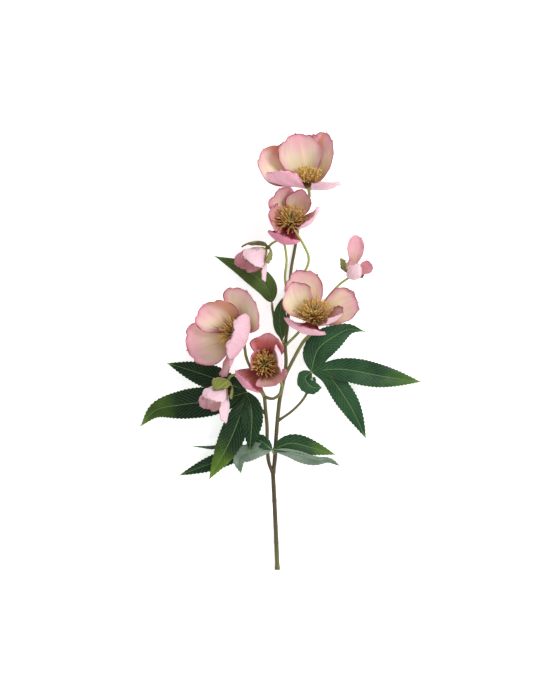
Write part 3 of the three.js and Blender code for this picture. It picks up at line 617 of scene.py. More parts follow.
# The last point of each is the hub of its leaf.
LEAF_STALKS = {
    "right": dict(
        radius=(1.15, 1.1),
        path=[(-1, -59, 14), (11.5, -50, 14), (21, -39.5, 14), (26, -28, 12.5), (27, -17, 17)],
    ),
    "left": dict(
        radius=(1.15, 1.1),
        path=[(-11.3, -54, 18), (-18, -46, 15.5), (-23, -39, 15.5), (-27.5, -34.5, 18)],
    ),
    "fork_front": dict(radius=(1.15, 1.1), path=[(-3.6, -88, 13), (-5, -86, 17), (-6, -83.5, 20)]),
    "fork_back": dict(radius=(1.15, 1.1), path=[(-10, -84, 15.5), (-14, -82.5, 12.5), (-18, -82, 11)]),
    "bract_left": dict(
        radius=(1.2, 1.05),
        path=[MIDDLE_NODE, (-1.5, 18, 10), (-5.6, 33, 10.5), (-6.5, 42, 11)],
    ),
    "bract_middle": dict(radius=(1.1, 1.0), path=[MIDDLE_NODE, (4.2, 6.5, 13.5), (2.6, 10, 15)]),
    "bract_upper": dict(radius=(1.2, 1.0), path=[UPPER_NODE, (12, 46.5, 6), (16, 48.5, 5.5)]),
}

# Each leaflet runs from the hub through its own points and turns its upper face to +Z, or the way it
# `faces`. It is widest at its `peak`, and a larger `full` narrows it faster to both ends.
LEAVES = {
    "right": [
        dict(half=13, path=[(33, 2, 16), (47, 13, 14), (60, 19, 11.5), (73.5, 17, 8)], peak=0.36, full=2.2),
        dict(half=11.5, path=[(52, -15, 19), (87, -21, 12), (121, -26, 0.2)], peak=0.45, yellow=0.4),
        dict(half=10, path=[(41, -21, 17), (57, -41, 10), (66, -57, 5), (74, -74.5, 2)], peak=0.45),
        dict(half=8.5, path=[(22, -23, 19), (27.5, -30, 18), (36, -31, 13)], peak=0.45),
    ],
    "left": [
        dict(half=11, path=[(-44, -27, 20), (-68, -18.5, 14), (-96, -10, 8)], peak=0.45, deep=0.9),
        dict(half=13.5, path=[(-50, -41, 22), (-81, -45, 17), (-105, -50, 9), (-119, -64, 0.2)],
             peak=0.42, deep=1, yellow=0.6),
        dict(half=11.5, path=[(-33, -53, 24), (-44, -80, 20), (-60, -109, 13)],
             peak=0.45, deep=0.9, yellow=1),
        dict(half=10, path=[(-23.5, -52, 24), (-24, -70, 24), (-25.5, -86, 22)], peak=0.4, deep=0.7),
    ],
    "fork_front": [
        dict(half=8.5, path=[(10, -78, 20), (28, -82, 17), (48, -88, 13)], peak=0.4, deep=0.4, yellow=0.7),
        dict(half=8, path=[(12, -87, 17), (31, -93, 10), (43, -93, 7), (52, -98, 4)],
             faces=(0, -0.8, 0.6), pale=0.8),
        dict(half=8, path=[(-20, -84, 20.5), (-34, -91, 15), (-33, -104, 10)], peak=0.45, pale=0.9),
        dict(half=6, path=[(-13, -78, 21), (-19, -75, 19), (-24, -79, 16)], peak=0.5),
    ],
    "fork_back": [
        dict(half=7.5, path=[(-38, -88, 9.5), (-62, -97, 6), (-86, -106, 1)], peak=0.45, deep=0.5),
        dict(half=6, path=[(-40, -81, 11), (-58, -82, 10.5), (-75, -81, 9)], faces=(0, 0.9, 0.3)),
    ],
    "bract_left": [
        dict(half=9.5, path=[(-11.5, 56, 11), (-28, 69, 8), (-56.5, 82, 4)], peak=0.33, teeth=0, tone=0.8),
    ],
    "bract_middle": [
        dict(half=6, path=[(0.6, 20, 15), (0.5, 34, 14), (2.5, 46, 12)], peak=0.45, teeth=0, tone=0.3),
    ],
    "bract_upper": [
        dict(half=5, path=[(22, 53, 5.5), (33, 66.5, 5)], peak=0.45, teeth=0, tone=0.4),
    ],
}


# ---------- Painting ----------
class NodeTree:
    """A node tree that grows by calls: a socket that one call gives back goes into the next."""

    def node(self, kind, inputs, **settings):
        made = self.tree.nodes.new(kind)
        for key, value in settings.items():
            setattr(made, key, value)
        for key, value in inputs.items():
            if isinstance(value, bpy.types.NodeSocket):
                self.tree.links.new(value, made.inputs[key])
            else:
                made.inputs[key].default_value = value
        return made

    def math(self, operation, *values, clamp=False):
        inputs = dict(enumerate(values))
        return self.node("ShaderNodeMath", inputs, operation=operation, use_clamp=clamp).outputs[0]

    def plus(self, a, b, clamp=False):
        return self.math("ADD", a, b, clamp=clamp)

    def less(self, a, b):
        return self.math("SUBTRACT", a, b)

    def times(self, a, b, clamp=False):
        return self.math("MULTIPLY", a, b, clamp=clamp)

    def most(self, a, b):
        return self.math("MAXIMUM", a, b)

    def vector(self, x, y, z):
        return self.node("ShaderNodeCombineXYZ", {"X": x, "Y": y, "Z": z}).outputs[0]

    def rise(self, value, low, high, start=0.0, end=1.0, course="SMOOTHSTEP"):
        """A step from `start` to `end` as the value goes from low to high, smooth or by another course."""
        inputs = {"Value": value, "From Min": low, "From Max": high, "To Min": start, "To Max": end}
        return self.node("ShaderNodeMapRange", inputs, interpolation_type=course).outputs[0]


class Paint(NodeTree):
    """A material's node tree, built up from named attributes, patterns and mixes."""

    def __init__(self, name, roughness, specular=0.4, **shader):
        self.material = bpy.data.materials.new(name)
        self.material.use_nodes = True
        self.tree = self.material.node_tree
        self.shader = self.tree.nodes["Principled BSDF"]
        self.shader.inputs["Roughness"].default_value = roughness
        self.shader.inputs["Specular IOR Level"].default_value = specular
        for key, value in shader.items():
            self.shader.inputs[key].default_value = value

    def read(self, name):
        """The value of that name that a piece gives to each of its points."""
        return self.node("ShaderNodeAttribute", {}, attribute_name=name).outputs["Fac"]

    def read_all(self, *names):
        return [self.read(name) for name in names]

    def place(self):
        return self.node("ShaderNodeTexCoord", {}).outputs["Object"]

    def swing(self, pattern, reach):
        """A pattern that runs from 0 to 1, moved down to lie evenly round 0, times its reach."""
        return self.times(self.less(pattern, 0.5), reach)

    def noise(self, vector, scale, detail=3.0):
        inputs = {"Vector": vector, "Scale": scale, "Detail": detail}
        return self.node("ShaderNodeTexNoise", inputs).outputs[0]

    def cells(self, vector, scale):
        """The distance to the nearest wall of a net of cells."""
        inputs = {"Vector": vector, "Scale": scale}
        return self.node("ShaderNodeTexVoronoi", inputs, feature="DISTANCE_TO_EDGE").outputs[0]

    def blend(self, share, a, b):
        """Colour `a` with a share of colour `b`. The node takes its colours at inputs 6 and 7."""
        a, b = (x if isinstance(x, bpy.types.NodeSocket) else (*x, 1.0) for x in (a, b))
        return self.node("ShaderNodeMix", {0: share, 6: a, 7: b}, data_type="RGBA").outputs[2]

    def inner_or_outer(self, inside, outside):
        """The inside colour on a sheet's inner face, and the outside colour on its outer one."""
        return self.blend(self.rise(self.read("inner"), 0.4, 0.6), outside, inside)

    def finish(self, colour, height=None, depth=0.3):
        """Colours the shader, with relief `height` that is `depth` millimetres deep."""
        self.tree.links.new(colour, self.shader.inputs["Base Color"])
        if height is not None:
            bump = self.node("ShaderNodeBump", {"Height": height, "Distance": depth * MM, "Strength": 1.0})
            self.tree.links.new(bump.outputs[0], self.shader.inputs["Normal"])
        return self.material


CREAM = (0.80, 0.70, 0.52)
FOOT_YELLOW = (0.50, 0.41, 0.12)
BLUSH = (0.73, 0.44, 0.48)
ROSE = (0.60, 0.16, 0.15)
RIM_PINK = (0.62, 0.22, 0.29)
UMBER_ROSE = (0.27, 0.055, 0.03)
WINE = (0.20, 0.012, 0.035)
TAWNY_FOLD_SHADE = (0.62, 0.29, 0.12)
LILAC = (0.76, 0.46, 0.54)
LILAC_PALE = (0.80, 0.64, 0.69)
LILAC_DEEP = (0.62, 0.20, 0.30)
BUD_FOOT = (0.74, 0.60, 0.36)


def sepal_paint(name, bud=False):
    """Cream to blush inside, lilac outside, with a wine-red line along the margin."""
    glow = {"Subsurface Weight": 0.4, "Subsurface Scale": 1.2 * MM, "Subsurface Radius": (1.0, 0.6, 0.5)}
    paint = Paint(name, roughness=0.6, specular=0.2, **glow)
    span, along, edge, tone, seed = paint.read_all("span", "along", "edge", "tone", "seed")
    streaks = paint.noise(paint.vector(paint.times(span, 5.0), paint.times(along, 1.2), seed), 1.0, 3)
    fine = paint.noise(paint.vector(paint.times(span, 30.0), paint.times(along, 2.5), seed), 1.0, 2)
    mottle = paint.noise(paint.place(), 700.0, 3)
    drift = paint.swing(streaks, 0.5)
    upward = paint.plus(along, drift)
    outward = paint.plus(paint.math("ABSOLUTE", span), drift)
    # The inner face: a pale sepal, a dusky one, and what lies over both
    flush = paint.most(paint.rise(upward, 0.42, 0.95), paint.rise(outward, 0.5, 1.08))
    flush = paint.plus(flush, paint.times(tone, 0.5), clamp=True)
    cream = paint.blend(paint.rise(along, 0.0, 0.66), FOOT_YELLOW, CREAM)
    pale = paint.blend(flush, cream, BLUSH)
    dusky = paint.blend(paint.rise(upward, 0.12, 0.5), UMBER_ROSE, ROSE)
    lighter = paint.most(paint.rise(upward, 0.5, 1.0), paint.rise(outward, 0.5, 1.1))
    dusky = paint.blend(paint.times(lighter, 0.75), dusky, BLUSH)
    inside = paint.blend(paint.rise(tone, 0.4, 0.9), pale, dusky)
    flushed = paint.times(paint.rise(edge, 0.3, 4.5, 0.6, 0.0), paint.rise(along, 0.2, 0.7))
    inside = paint.blend(flushed, inside, RIM_PINK)
    # A tawny band on one side, set by gold: painted shade where the margin folds over.
    sided = paint.times(span, paint.read("gold"))
    band = paint.times(paint.rise(sided, 0.05, 0.5), paint.rise(sided, 0.75, 0.95, 0.7, 0.0))
    inside = paint.blend(band, inside, TAWNY_FOLD_SHADE)
    # The foot darkened to wine red: partly the bloom's own dark eye, partly painted shade under the stamens.
    rooted = paint.plus(upward, paint.swing(fine, 0.45))
    foot = paint.times(paint.rise(rooted, 0.1, 0.42, 1.0, 0.0), paint.read("stain"))
    inside = paint.blend(foot, inside, WINE)
    veins = paint.times(paint.rise(fine, 0.5, 0.75), paint.rise(along, 0.0, 0.9, 0.3, 0.05))
    inside = paint.blend(veins, inside, ROSE)
    # The outer face
    mottled = paint.rise(paint.plus(mottle, drift), 0.35, 0.85, 0.0, 0.7)
    outside = paint.blend(mottled, LILAC, LILAC_DEEP)
    outside = paint.blend(paint.rise(tone, -0.3, 0.6, 0.95, 0.0), outside, LILAC_PALE)
    outside = paint.blend(paint.rise(tone, 0.45, 1.0, 0.0, 0.75), outside, LILAC_DEEP)
    outside = paint.blend(paint.rise(fine, 0.5, 0.66, 0.0, 0.22), outside, LILAC_DEEP)
    if bud:
        outside = paint.blend(paint.rise(along, 0.0, 0.4, 0.6, 0.0), outside, BUD_FOOT)
        inside = paint.blend(0.55, inside, outside)
    colour = paint.inner_or_outer(inside, outside)
    # The rim, worn away in places, at the foot and at the point
    rim_width, rim_strength = (0.9, 0.6) if bud else (1.4, 0.95)
    worn = paint.rise(paint.noise(paint.place(), 110.0, 2), 0.35, 0.6)
    rim = paint.times(paint.rise(edge, 0.3, rim_width, rim_strength, 0.0), worn)
    ends = paint.times(paint.rise(along, 0.12, 0.4), paint.rise(along, 0.93, 0.98, 1.0, 0.45))
    colour = paint.blend(paint.times(rim, ends), colour, WINE)
    relief = paint.plus(paint.times(fine, 0.7), paint.times(mottle, 0.3))
    return paint.finish(colour, relief, 0.35)


LEAF_DARK = (0.008, 0.034, 0.016)
LEAF_MID = (0.020, 0.070, 0.026)
LEAF_VEIN = (0.19, 0.33, 0.12)
LEAF_TIP = (0.15, 0.27, 0.02)
LEAF_PAINTED_SHADE = (0.003, 0.014, 0.005)
LEAF_YOUNG = (0.10, 0.15, 0.025)
LEAF_UNDER = (0.26, 0.33, 0.27)
LEAF_UNDER_VEIN = (0.36, 0.40, 0.28)
NET_WOBBLE = 0.004


def leaf_paint(name):
    """Dark green with paler veins above and grey green below.

    `deep` darkens a leaflet with painted shade, `yellow` turns its far end yellow green, `pale` greys it in
    patches, and `tone` makes it the fresh green of the simple leaves by the blooms.
    """
    paint = Paint(name, roughness=0.42, specular=0.13)
    along, edge, vein, tone = paint.read_all("along", "edge", "vein", "tone")
    deep, yellow, pale = paint.read_all("deep", "yellow", "pale")
    place = paint.place()
    patch = paint.noise(place, 45.0, 3)
    # The veins: side ones that stray a little, the midrib and a faint net between them
    strayed = paint.plus(vein, paint.times(paint.noise(place, 75.0, 3), 1.5))
    side = paint.math("ABSOLUTE", paint.less(paint.math("FRACT", strayed), 0.5))
    lateral = paint.rise(side, 0.42, 0.495)
    midrib = paint.rise(paint.math("ABSOLUTE", paint.read("span")), 0.018, 0.055, 1.0, 0.0)
    grain = {"Vector": place, "Scale": 500.0, "Detail": 2.0}
    wobble = {0: paint.node("ShaderNodeTexNoise", grain).outputs["Color"], 1: (NET_WOBBLE,) * 3, 2: place}
    shaken = paint.node("ShaderNodeVectorMath", wobble, operation="MULTIPLY_ADD").outputs[0]
    net = paint.rise(paint.cells(shaken, 520.0), 0.0, 0.13, 1.0, 0.0)
    lines = paint.most(paint.times(lateral, 0.6), midrib)
    lines = paint.most(lines, paint.times(net, 0.1))
    lines = paint.times(lines, paint.rise(along, 0.0, 0.35, 1.5, 0.9), clamp=True)
    # The blade
    blade = paint.blend(paint.rise(patch, 0.35, 0.7), LEAF_DARK, LEAF_MID)
    # Painted shade: deep darkens leaflets towards near black, most of all the left leaf, away from the key
    # light.
    blade = paint.blend(paint.times(deep, 0.9), blade, LEAF_PAINTED_SHADE)
    blade = paint.blend(paint.times(tone, 0.8), blade, LEAF_YOUNG)
    blade = paint.blend(paint.times(pale, paint.rise(patch, 0.3, 0.62, 0.35, 0.95)), blade, LEAF_UNDER)
    blotched = paint.plus(along, paint.swing(patch, 0.55))
    blade = paint.blend(paint.times(yellow, paint.rise(blotched, 0.52, 1.08)), blade, LEAF_TIP)
    tipped = paint.most(paint.rise(along, 0.9, 1.0), paint.rise(edge, 0.0, 0.6, 0.45, 0.0))
    blade = paint.blend(paint.times(tipped, 0.7), blade, LEAF_TIP)
    upper = paint.blend(paint.times(lines, 0.65), blade, LEAF_VEIN)
    under = paint.blend(paint.times(lines, 0.5), LEAF_UNDER, LEAF_UNDER_VEIN)
    return paint.finish(paint.inner_or_outer(upper, under), paint.less(patch, lines), 0.25)


RIND_BROWN = (0.060, 0.036, 0.014)
RIND_OLIVE = (0.12, 0.115, 0.035)
RIND_GREEN = (0.36, 0.44, 0.12)
RIND_FLECK = (0.05, 0.035, 0.012)
RIND_GRAIN = (1400.0, 160.0, 1400.0)  # finer across the stem than along it


def stalk_paint(name):
    """Rind from brown by olive to yellow green, mottled and flecked with brown."""
    paint = Paint(name, roughness=0.5, specular=0.4)
    place = paint.place()
    tone = paint.plus(paint.read("tone"), paint.swing(paint.noise(place, 60.0), 0.5))
    rind = paint.blend(paint.rise(tone, 0.0, 0.45), RIND_BROWN, RIND_OLIVE)
    rind = paint.blend(paint.rise(tone, 0.45, 1.0), rind, RIND_GREEN)
    drawn = paint.node("ShaderNodeVectorMath", {0: place, 1: RIND_GRAIN}, operation="MULTIPLY").outputs[0]
    grain = paint.noise(drawn, 1.0, 3)
    rind = paint.blend(paint.rise(grain, 0.5, 0.75, 0.0, 0.45), rind, RIND_FLECK)
    return paint.finish(rind, grain, 0.3)


BRACT_DARK = (0.13, 0.16, 0.022)
BRACT_LIGHT = (0.26, 0.29, 0.055)
BRACT_BROWN = (0.16, 0.10, 0.04)
BRACT_RIM = (0.13, 0.045, 0.03)


def bract_paint(name):
    """Streaked green, browned in patches, with a dark red margin."""
    paint = Paint(name, roughness=0.5, specular=0.4)
    place = paint.place()
    span, along, seed = paint.read_all("span", "along", "seed")
    streaks = paint.noise(paint.vector(paint.times(span, 12.0), along, seed), 1.0)
    green = paint.blend(paint.rise(streaks, 0.35, 0.65), BRACT_DARK, BRACT_LIGHT)
    green = paint.blend(paint.rise(paint.noise(place, 120.0), 0.5, 0.75, 0.0, 0.6), green, BRACT_BROWN)
    rim = paint.rise(paint.read("edge"), 0.1, 1.0, 0.85, 0.0)
    return paint.finish(paint.blend(rim, green, BRACT_RIM), streaks, 0.3)


ANTHER_OCHRE = (0.56, 0.29, 0.05)
ANTHER_CREAM = (0.92, 0.66, 0.22)
THREAD_PAINTED_SHADE = (0.20, 0.06, 0.02)
THREAD_END = (0.82, 0.56, 0.18)


def stamen_paint(name):
    paint = Paint(name, roughness=0.6, specular=0.3)
    grain = paint.noise(paint.place(), 1500.0, 2)
    anther = paint.blend(paint.rise(grain, 0.35, 0.65), ANTHER_OCHRE, ANTHER_CREAM)
    # Painted shade: the threads darken towards their foot, deep in the mass of stamens, so only their ends
    # are bright.
    thread = paint.blend(paint.rise(paint.read("height"), 0.3, 1.0), THREAD_PAINTED_SHADE, THREAD_END)
    return paint.finish(paint.blend(paint.read("anther"), thread, anther), grain, 0.25)


HORN_FOOT = (0.17, 0.13, 0.03)
HORN_MOUTH = (0.16, 0.02, 0.025)
HORN_FLECK = (0.30, 0.16, 0.06)


def nectary_paint(name):
    paint = Paint(name, roughness=0.4, specular=0.5)
    grain = paint.noise(paint.place(), 700.0, 2)
    horn = paint.blend(paint.rise(paint.read("height"), 0.2, 1.0), HORN_FOOT, HORN_MOUTH)
    return paint.finish(paint.blend(paint.rise(grain, 0.5, 0.8, 0.0, 0.5), horn, HORN_FLECK), grain, 0.2)


CARPEL_GREEN = (0.30, 0.34, 0.08)
CARPEL_SHADE = (0.20, 0.26, 0.06)
STYLE_YELLOW = (0.66, 0.62, 0.22)
STYLE_TIP = (0.50, 0.20, 0.10)


def carpel_paint(name):
    paint = Paint(name, roughness=0.5, specular=0.4)
    grain = paint.noise(paint.place(), 500.0, 2)
    along = paint.read("along")
    carpel = paint.blend(paint.rise(along, 0.2, 0.9), CARPEL_GREEN, STYLE_YELLOW)
    carpel = paint.blend(paint.rise(along, 0.93, 0.99), carpel, STYLE_TIP)
    carpel = paint.blend(paint.rise(grain, 0.45, 0.8, 0.0, 0.4), carpel, CARPEL_SHADE)
    return paint.finish(carpel, grain, 0.25)


# ---------- Things that repeat round a bloom ----------
class Plan(NodeTree):
    """A Geometry Nodes tree with named sizes, for pieces that repeat round a bloom's axis."""

    def __init__(self, name, sizes):
        self.tree = bpy.data.node_groups.new(name, "GeometryNodeTree")
        kinds = {int: "NodeSocketInt", float: "NodeSocketFloat"}
        sockets = {key: (kinds[type(value)], value) for key, value in sizes.items()}
        sockets["Finish"] = ("NodeSocketMaterial", None)
        self.keys = {}
        for key, (kind, value) in sockets.items():
            socket = self.tree.interface.new_socket(key, in_out="INPUT", socket_type=kind)
            if value is not None:
                socket.default_value = value
            self.keys[key] = socket.identifier
        self.tree.interface.new_socket("Geometry", in_out="OUTPUT", socket_type="NodeSocketGeometry")
        self.given = self.tree.nodes.new("NodeGroupInput").outputs
        self.index = self.node("GeometryNodeInputIndex", {}).outputs[0]

    def random(self, low, high, salt):
        """A number for each part. The node takes the ends and the seed of one at inputs 2, 3 and 8."""
        seed = self.plus(self.given["Seed"], float(salt))
        made = self.node("FunctionNodeRandomValue", {2: low, 3: high, 8: seed}, data_type="FLOAT")
        return made.outputs[1]

    def spot(self, turn, height):
        """A place on the ring, at a turn round the axis and a height above the bloom's base."""
        x = self.times(self.given["Ring"], self.math("COSINE", turn))
        y = self.times(self.given["Ring"], self.math("SINE", turn))
        return self.vector(x, y, height)

    def bow(self, steps, start, bend, end):
        """A bent line between two points."""
        inputs = {"Resolution": steps, "Start": start, "Middle": bend, "End": end}
        return self.node("GeometryNodeCurveQuadraticBezier", inputs).outputs[0]

    def share(self):
        """The share of its own line that a point has behind it."""
        return self.node("GeometryNodeSplineParameter", {}).outputs[0]

    def store(self, part, name, value):
        inputs = {"Geometry": part, "Name": name, "Value": value}
        return self.node("GeometryNodeStoreNamedAttribute", inputs).outputs[0]

    def bar(self, line, thickness, sides):
        """A round bar along a line, with its share of the line kept as `height`."""
        kept = self.store(line, "height", self.share())
        ring = self.node("GeometryNodeCurvePrimitiveCircle", {"Resolution": sides, "Radius": 1.0}).outputs[0]
        inputs = {"Curve": kept, "Profile Curve": ring, "Scale": thickness, "Fill Caps": True}
        return self.node("GeometryNodeCurveToMesh", inputs).outputs[0]

    def place_round(self, part, spot, rotation, size):
        """Sets the part once at each spot and ends the tree in plain mesh with its finish."""
        points = self.node("GeometryNodePoints", {"Count": self.given["Count"], "Position": spot}).outputs[0]
        scale = self.vector(size, size, size)
        inputs = {"Points": points, "Instance": part, "Rotation": rotation, "Scale": scale}
        placed = self.node("GeometryNodeInstanceOnPoints", inputs).outputs[0]
        whole = self.node("GeometryNodeRealizeInstances", {"Geometry": placed}).outputs[0]
        finished = {"Geometry": whole, "Material": self.given["Finish"]}
        done = self.node("GeometryNodeSetMaterial", finished).outputs[0]
        self.tree.links.new(done, self.tree.nodes.new("NodeGroupOutput").inputs[0])
        return self


GOLDEN_ANGLE = math.pi * (3 - math.sqrt(5))
THREAD_RADIUS = 0.2
ANTHER_SHAPE = (1.15, 0.56, 0.45)  # its half length, width and height


def stamen_plan():
    """Stamens by the golden angle on a low boss: the outer ones spread wide and the inner ones rise."""
    sizes = {"Count": 180, "Reach": 13.0, "Low": 0.6, "High": 1.3, "Ring": 2.1, "Foot": 3.2, "Seed": 11}
    plan = Plan("stamens", sizes)
    count, reach, low, high, foot = (plan.given[key] for key in ("Count", "Reach", "Low", "High", "Foot"))
    inward = plan.math("DIVIDE", plan.index, plan.less(count, 1.0))
    turn = plan.plus(plan.times(plan.index, GOLDEN_ANGLE), plan.random(-0.2, 0.2, 1))
    lift = plan.plus(plan.times(inward, plan.less(high, low)), low)
    lift = plan.plus(lift, plan.random(-0.1, 0.1, 2))
    spot = plan.spot(turn, plan.plus(foot, inward))
    rotation = plan.vector(plan.random(-1.4, 1.4, 3), plan.times(lift, -1.0), turn)
    bend = plan.vector(plan.times(reach, 0.55), 0.0, plan.times(reach, 0.13))
    end = plan.vector(reach, 0.0, 0.0)
    thread = plan.bar(plan.bow(7, (-0.8, 0.0, 0.0), bend, end), THREAD_RADIUS, 6)
    pod = plan.node("GeometryNodeMeshUVSphere", {"Segments": 7, "Rings": 6, "Radius": 1.0}).outputs[0]
    shaped = {"Geometry": pod, "Translation": end, "Scale": ANTHER_SHAPE}
    pod = plan.store(plan.node("GeometryNodeTransform", shaped).outputs[0], "anther", 1.0)
    stamen = plan.node("GeometryNodeJoinGeometry", {})
    plan.tree.links.new(thread, stamen.inputs[0])
    plan.tree.links.new(pod, stamen.inputs[0])
    return plan.place_round(stamen.outputs[0], spot, rotation, plan.random(0.68, 1.1, 4))


def nectary_plan():
    """A ring of short horns on the feet of the sepals, which widen to a lip and narrow at the mouth."""
    plan = Plan("nectaries", {"Count": 11, "Ring": 2.9, "Foot": 2.4, "Length": 3.0, "Seed": 3})
    long = plan.given["Length"]
    step = plan.math("DIVIDE", 2 * math.pi, plan.given["Count"])
    turn = plan.plus(plan.times(plan.index, step), plan.random(-0.08, 0.08, 1))
    rotation = plan.vector(0.0, plan.random(-0.75, -0.45, 2), turn)
    bend = plan.vector(plan.times(long, 0.6), 0.0, -0.5)
    end = plan.vector(long, 0.0, plan.times(long, 0.3))
    share = plan.share()
    flare = plan.rise(share, 0.0, 0.85, 0.42, 0.85, course="LINEAR")
    lip = plan.rise(share, 0.85, 1.0, 1.0, 0.55, course="LINEAR")
    horn = plan.bar(plan.bow(9, (0.0, 0.0, 0.0), bend, end), plan.times(flare, lip), 10)
    return plan.place_round(horn, plan.spot(turn, plan.given["Foot"]), rotation, plan.random(0.9, 1.1, 3))


def grow(name, plan, material, place, **sizes):
    """Runs a plan with its sizes and keeps what comes out as a plain mesh at its place."""
    seedbed = bpy.data.objects.new("seedbed", bpy.data.meshes.new("seedbed"))
    bpy.context.scene.collection.objects.link(seedbed)
    modifier = seedbed.modifiers.new(name, "NODES")
    modifier.node_group = plan.tree
    for key, value in {**sizes, "Finish": material}.items():
        modifier[plan.keys[key]] = value
    depsgraph = bpy.context.evaluated_depsgraph_get()
    depsgraph.update()
    mesh = bpy.data.meshes.new_from_object(seedbed.evaluated_get(depsgraph), depsgraph=depsgraph)
    bpy.data.objects.remove(seedbed)
    laid = Matrix(place.tolist())
    laid.translation += Vector(LAY_AT)
    mesh.transform(Matrix.Scale(MM, 4) @ laid)
    mesh.name = name
    mesh.materials.clear()
    return finish_piece(name, mesh, [material])


# ---------- Making the pieces ----------
def keep(piece, node):
    """Lets a finished piece ride on the one body and stand for its solid."""
    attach(piece, "root")
    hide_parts(node)


def add_stalk(stem, radius, path, tone, joints=(), stop=1.0, step=2.0):
    """A ribbed stalk with a swollen foot and a ring at each joint, as far along its path as `stop`."""
    line = Path(path)
    shares = np.linspace(0, stop, max(4, math.ceil(line.length * stop / step)))
    run = shares * line.length
    size = mix(radius[0], radius[1], shares)
    size = size * (1 + 0.22 * hump(run, 3.0))
    size = size * (1 + 0.02 * np.sin(run * 0.55))
    for joint in joints:
        size = size * (1 + 0.07 * hump((shares - joint) * line.length, 1.2))
    loft(stem, rings_along(line, shares, size, 16, ribs=0.035), tone=mix(tone[0], tone[1], shares))


def make_stem(stalk_finish):
    stem = Piece()
    for stalk in STALKS.values():
        add_stalk(stem, **stalk)
    for stalk in LEAF_STALKS.values():
        stop = 1 - (HUB - 0.4) / Path(stalk["path"]).length
        add_stalk(stem, **stalk, tone=(0.15, 0.55), stop=stop, step=1.5)
    keep(stem.make("stem_and_stalks", [stalk_finish]), "stem")


TOOTH_STEP = 3.3  # from one tooth of a leaflet's margin to the next
TOOTH_DEPTH = 0.85
VEIN_STEP = 4.6  # from one side vein to the next
WHOLE_ROWS = 22  # stands for the teeth of a leaflet with a whole margin, when its rows are counted


def add_leaflet(leaf, hub, leaflet):
    """One leaflet from the hub. Its columns run from the right margin to the left, so that the sheet's
    inner face is its upper one."""
    shape = {"faces": (0, 0, 1), "peak": 0.46, "full": 1.9, "teeth": None, **leaflet}
    line = Path([hub, *shape["path"]])
    teeth = round(line.length / TOOTH_STEP) if shape["teeth"] is None else shape["teeth"]
    u, v = np.meshgrid(-columns_across(25), np.linspace(0, 1, 4 * (teeth or WHOLE_ROWS) + 1))
    centre, along = line.at(v), line.along(v)
    side = unit(np.cross(along, np.array(shape["faces"], float)))
    up = np.cross(side, along)
    wide = shape["half"] * leaf_outline(v, shape["peak"], shape["full"])
    saw = (v * teeth) % 1 if teeth else np.zeros_like(v)
    notch = np.where(saw < 0.3, saw / 0.3, (1 - saw) / 0.7) * smooth(v, 0.12, 0.3)
    tooth = np.minimum(TOOTH_DEPTH / np.maximum(wide, 1), 0.2) if teeth else 0.0
    x, y = bent(u, wide * (1 - tooth * notch * np.abs(u) ** 3), 0.25, -0.3)
    far = np.abs(u)
    wave = 0.5 * np.sin(11 * v + 3 * u) * u * u * np.minimum(1, wide / 5)
    vein = v * line.length / VEIN_STEP - 1.7 * far * wide / VEIN_STEP
    pucker = 0.18 * np.abs(np.sin(np.pi * vein)) * far * (1 - far**4) * np.minimum(1, wide / 4)
    groove = -0.4 * hump(far * wide, 0.8) * np.minimum(1, wide / 4)
    middle = centre + side * x[..., None] + up * (y + wave + pucker + groove)[..., None]
    shade = {key: shape.get(key, 0.0) for key in ("tone", "deep", "yellow", "pale")}
    sheet(leaf, middle, LEAF_THICK, span=u * wide / 10, along=v, vein=vein, **shade)


def make_leaf(name, leaf_finish, stalk_finish):
    """The leaflets of a leaf and the hub that they spring from, a rounded end of its stalk."""
    leaf = Piece()
    stalk = LEAF_STALKS[name]
    line = Path(stalk["path"])
    shares = np.linspace(1 - HUB / line.length, 1, 6)
    size = np.full(len(shares), stalk["radius"][1]) * np.array([1, 1, 1, 0.95, 0.8, 0.4])
    loft(leaf, rings_along(line, shares, size, 14), tone=0.75, slot=1)
    for leaflet in LEAVES[name]:
        add_leaflet(leaf, stalk["path"][-1], leaflet)
    keep(leaf.make(f"leaf_blade_{name}", [leaf_finish, stalk_finish]), f"leaf_{name}")


CARPELS = 5
CARPEL_LINE = ((0.7, 5.6), (1.9, 11), (3.0, 15.6), (3.9, 17))  # how far out and how high it runs
CORE = [(1.0, 4.9), (1.5, 5.2), (1.5, 6.4), (0.9, 7.0)]  # radius and height


def make_carpels(name, place, carpel_finish):
    """Five upright carpels on a low core, each drawn out into a style that leans outwards."""
    carpels = Piece()
    revolve(carpels, CORE, 16)
    for i in range(CARPELS):
        turn = 2 * math.pi * (i + 0.5) / CARPELS
        outward = np.array([math.cos(turn), math.sin(turn), 0])
        line = Path([outward * out + (0, 0, up) for out, up in CARPEL_LINE])
        shares = np.linspace(0, 1, 22)
        size = mix(1.0, 0.34, smooth(shares, 0.2, 0.62)) + 0.28 * hump(shares - 0.96, 0.05)
        loft(carpels, rings_along(line, shares, size, 10), along=shares)
    keep(carpels.make(f"carpels_and_styles_{name}", [carpel_finish], place), f"carpels_{name}")


def make_bloom(index, name, bloom, finish):
    place = facing(bloom["base"], bloom["axis"])
    sepals = Piece()
    add_neck(sepals)
    for sepal, phase in zip(bloom["sepals"], PHASES):
        add_sepal(sepals, {"phase": phase, **sepal}, sepal_rows(), columns_across(45), seed=7.0 * index)
    skins = [finish["sepal"], finish["stalk"]]
    keep(sepals.make(f"sepals_of_{name}_bloom", skins, place), f"sepals_{name}")
    low, high = np.radians(bloom["spread"])
    sizes = {"Reach": float(bloom["stamens"]), "Low": low - 0.15, "High": high + 0.15, "Seed": 11 + index}
    stamens = grow(f"stamens_of_{name}_bloom", stamens_by_plan, finish["stamen"], place, **sizes)
    keep(stamens, f"stamens_{name}")
    nectaries = grow(f"nectaries_of_{name}_bloom", nectaries_by_plan, finish["nectary"], place, Seed=index)
    keep(nectaries, f"nectaries_{name}")
    make_carpels(name, place, finish["carpel"])


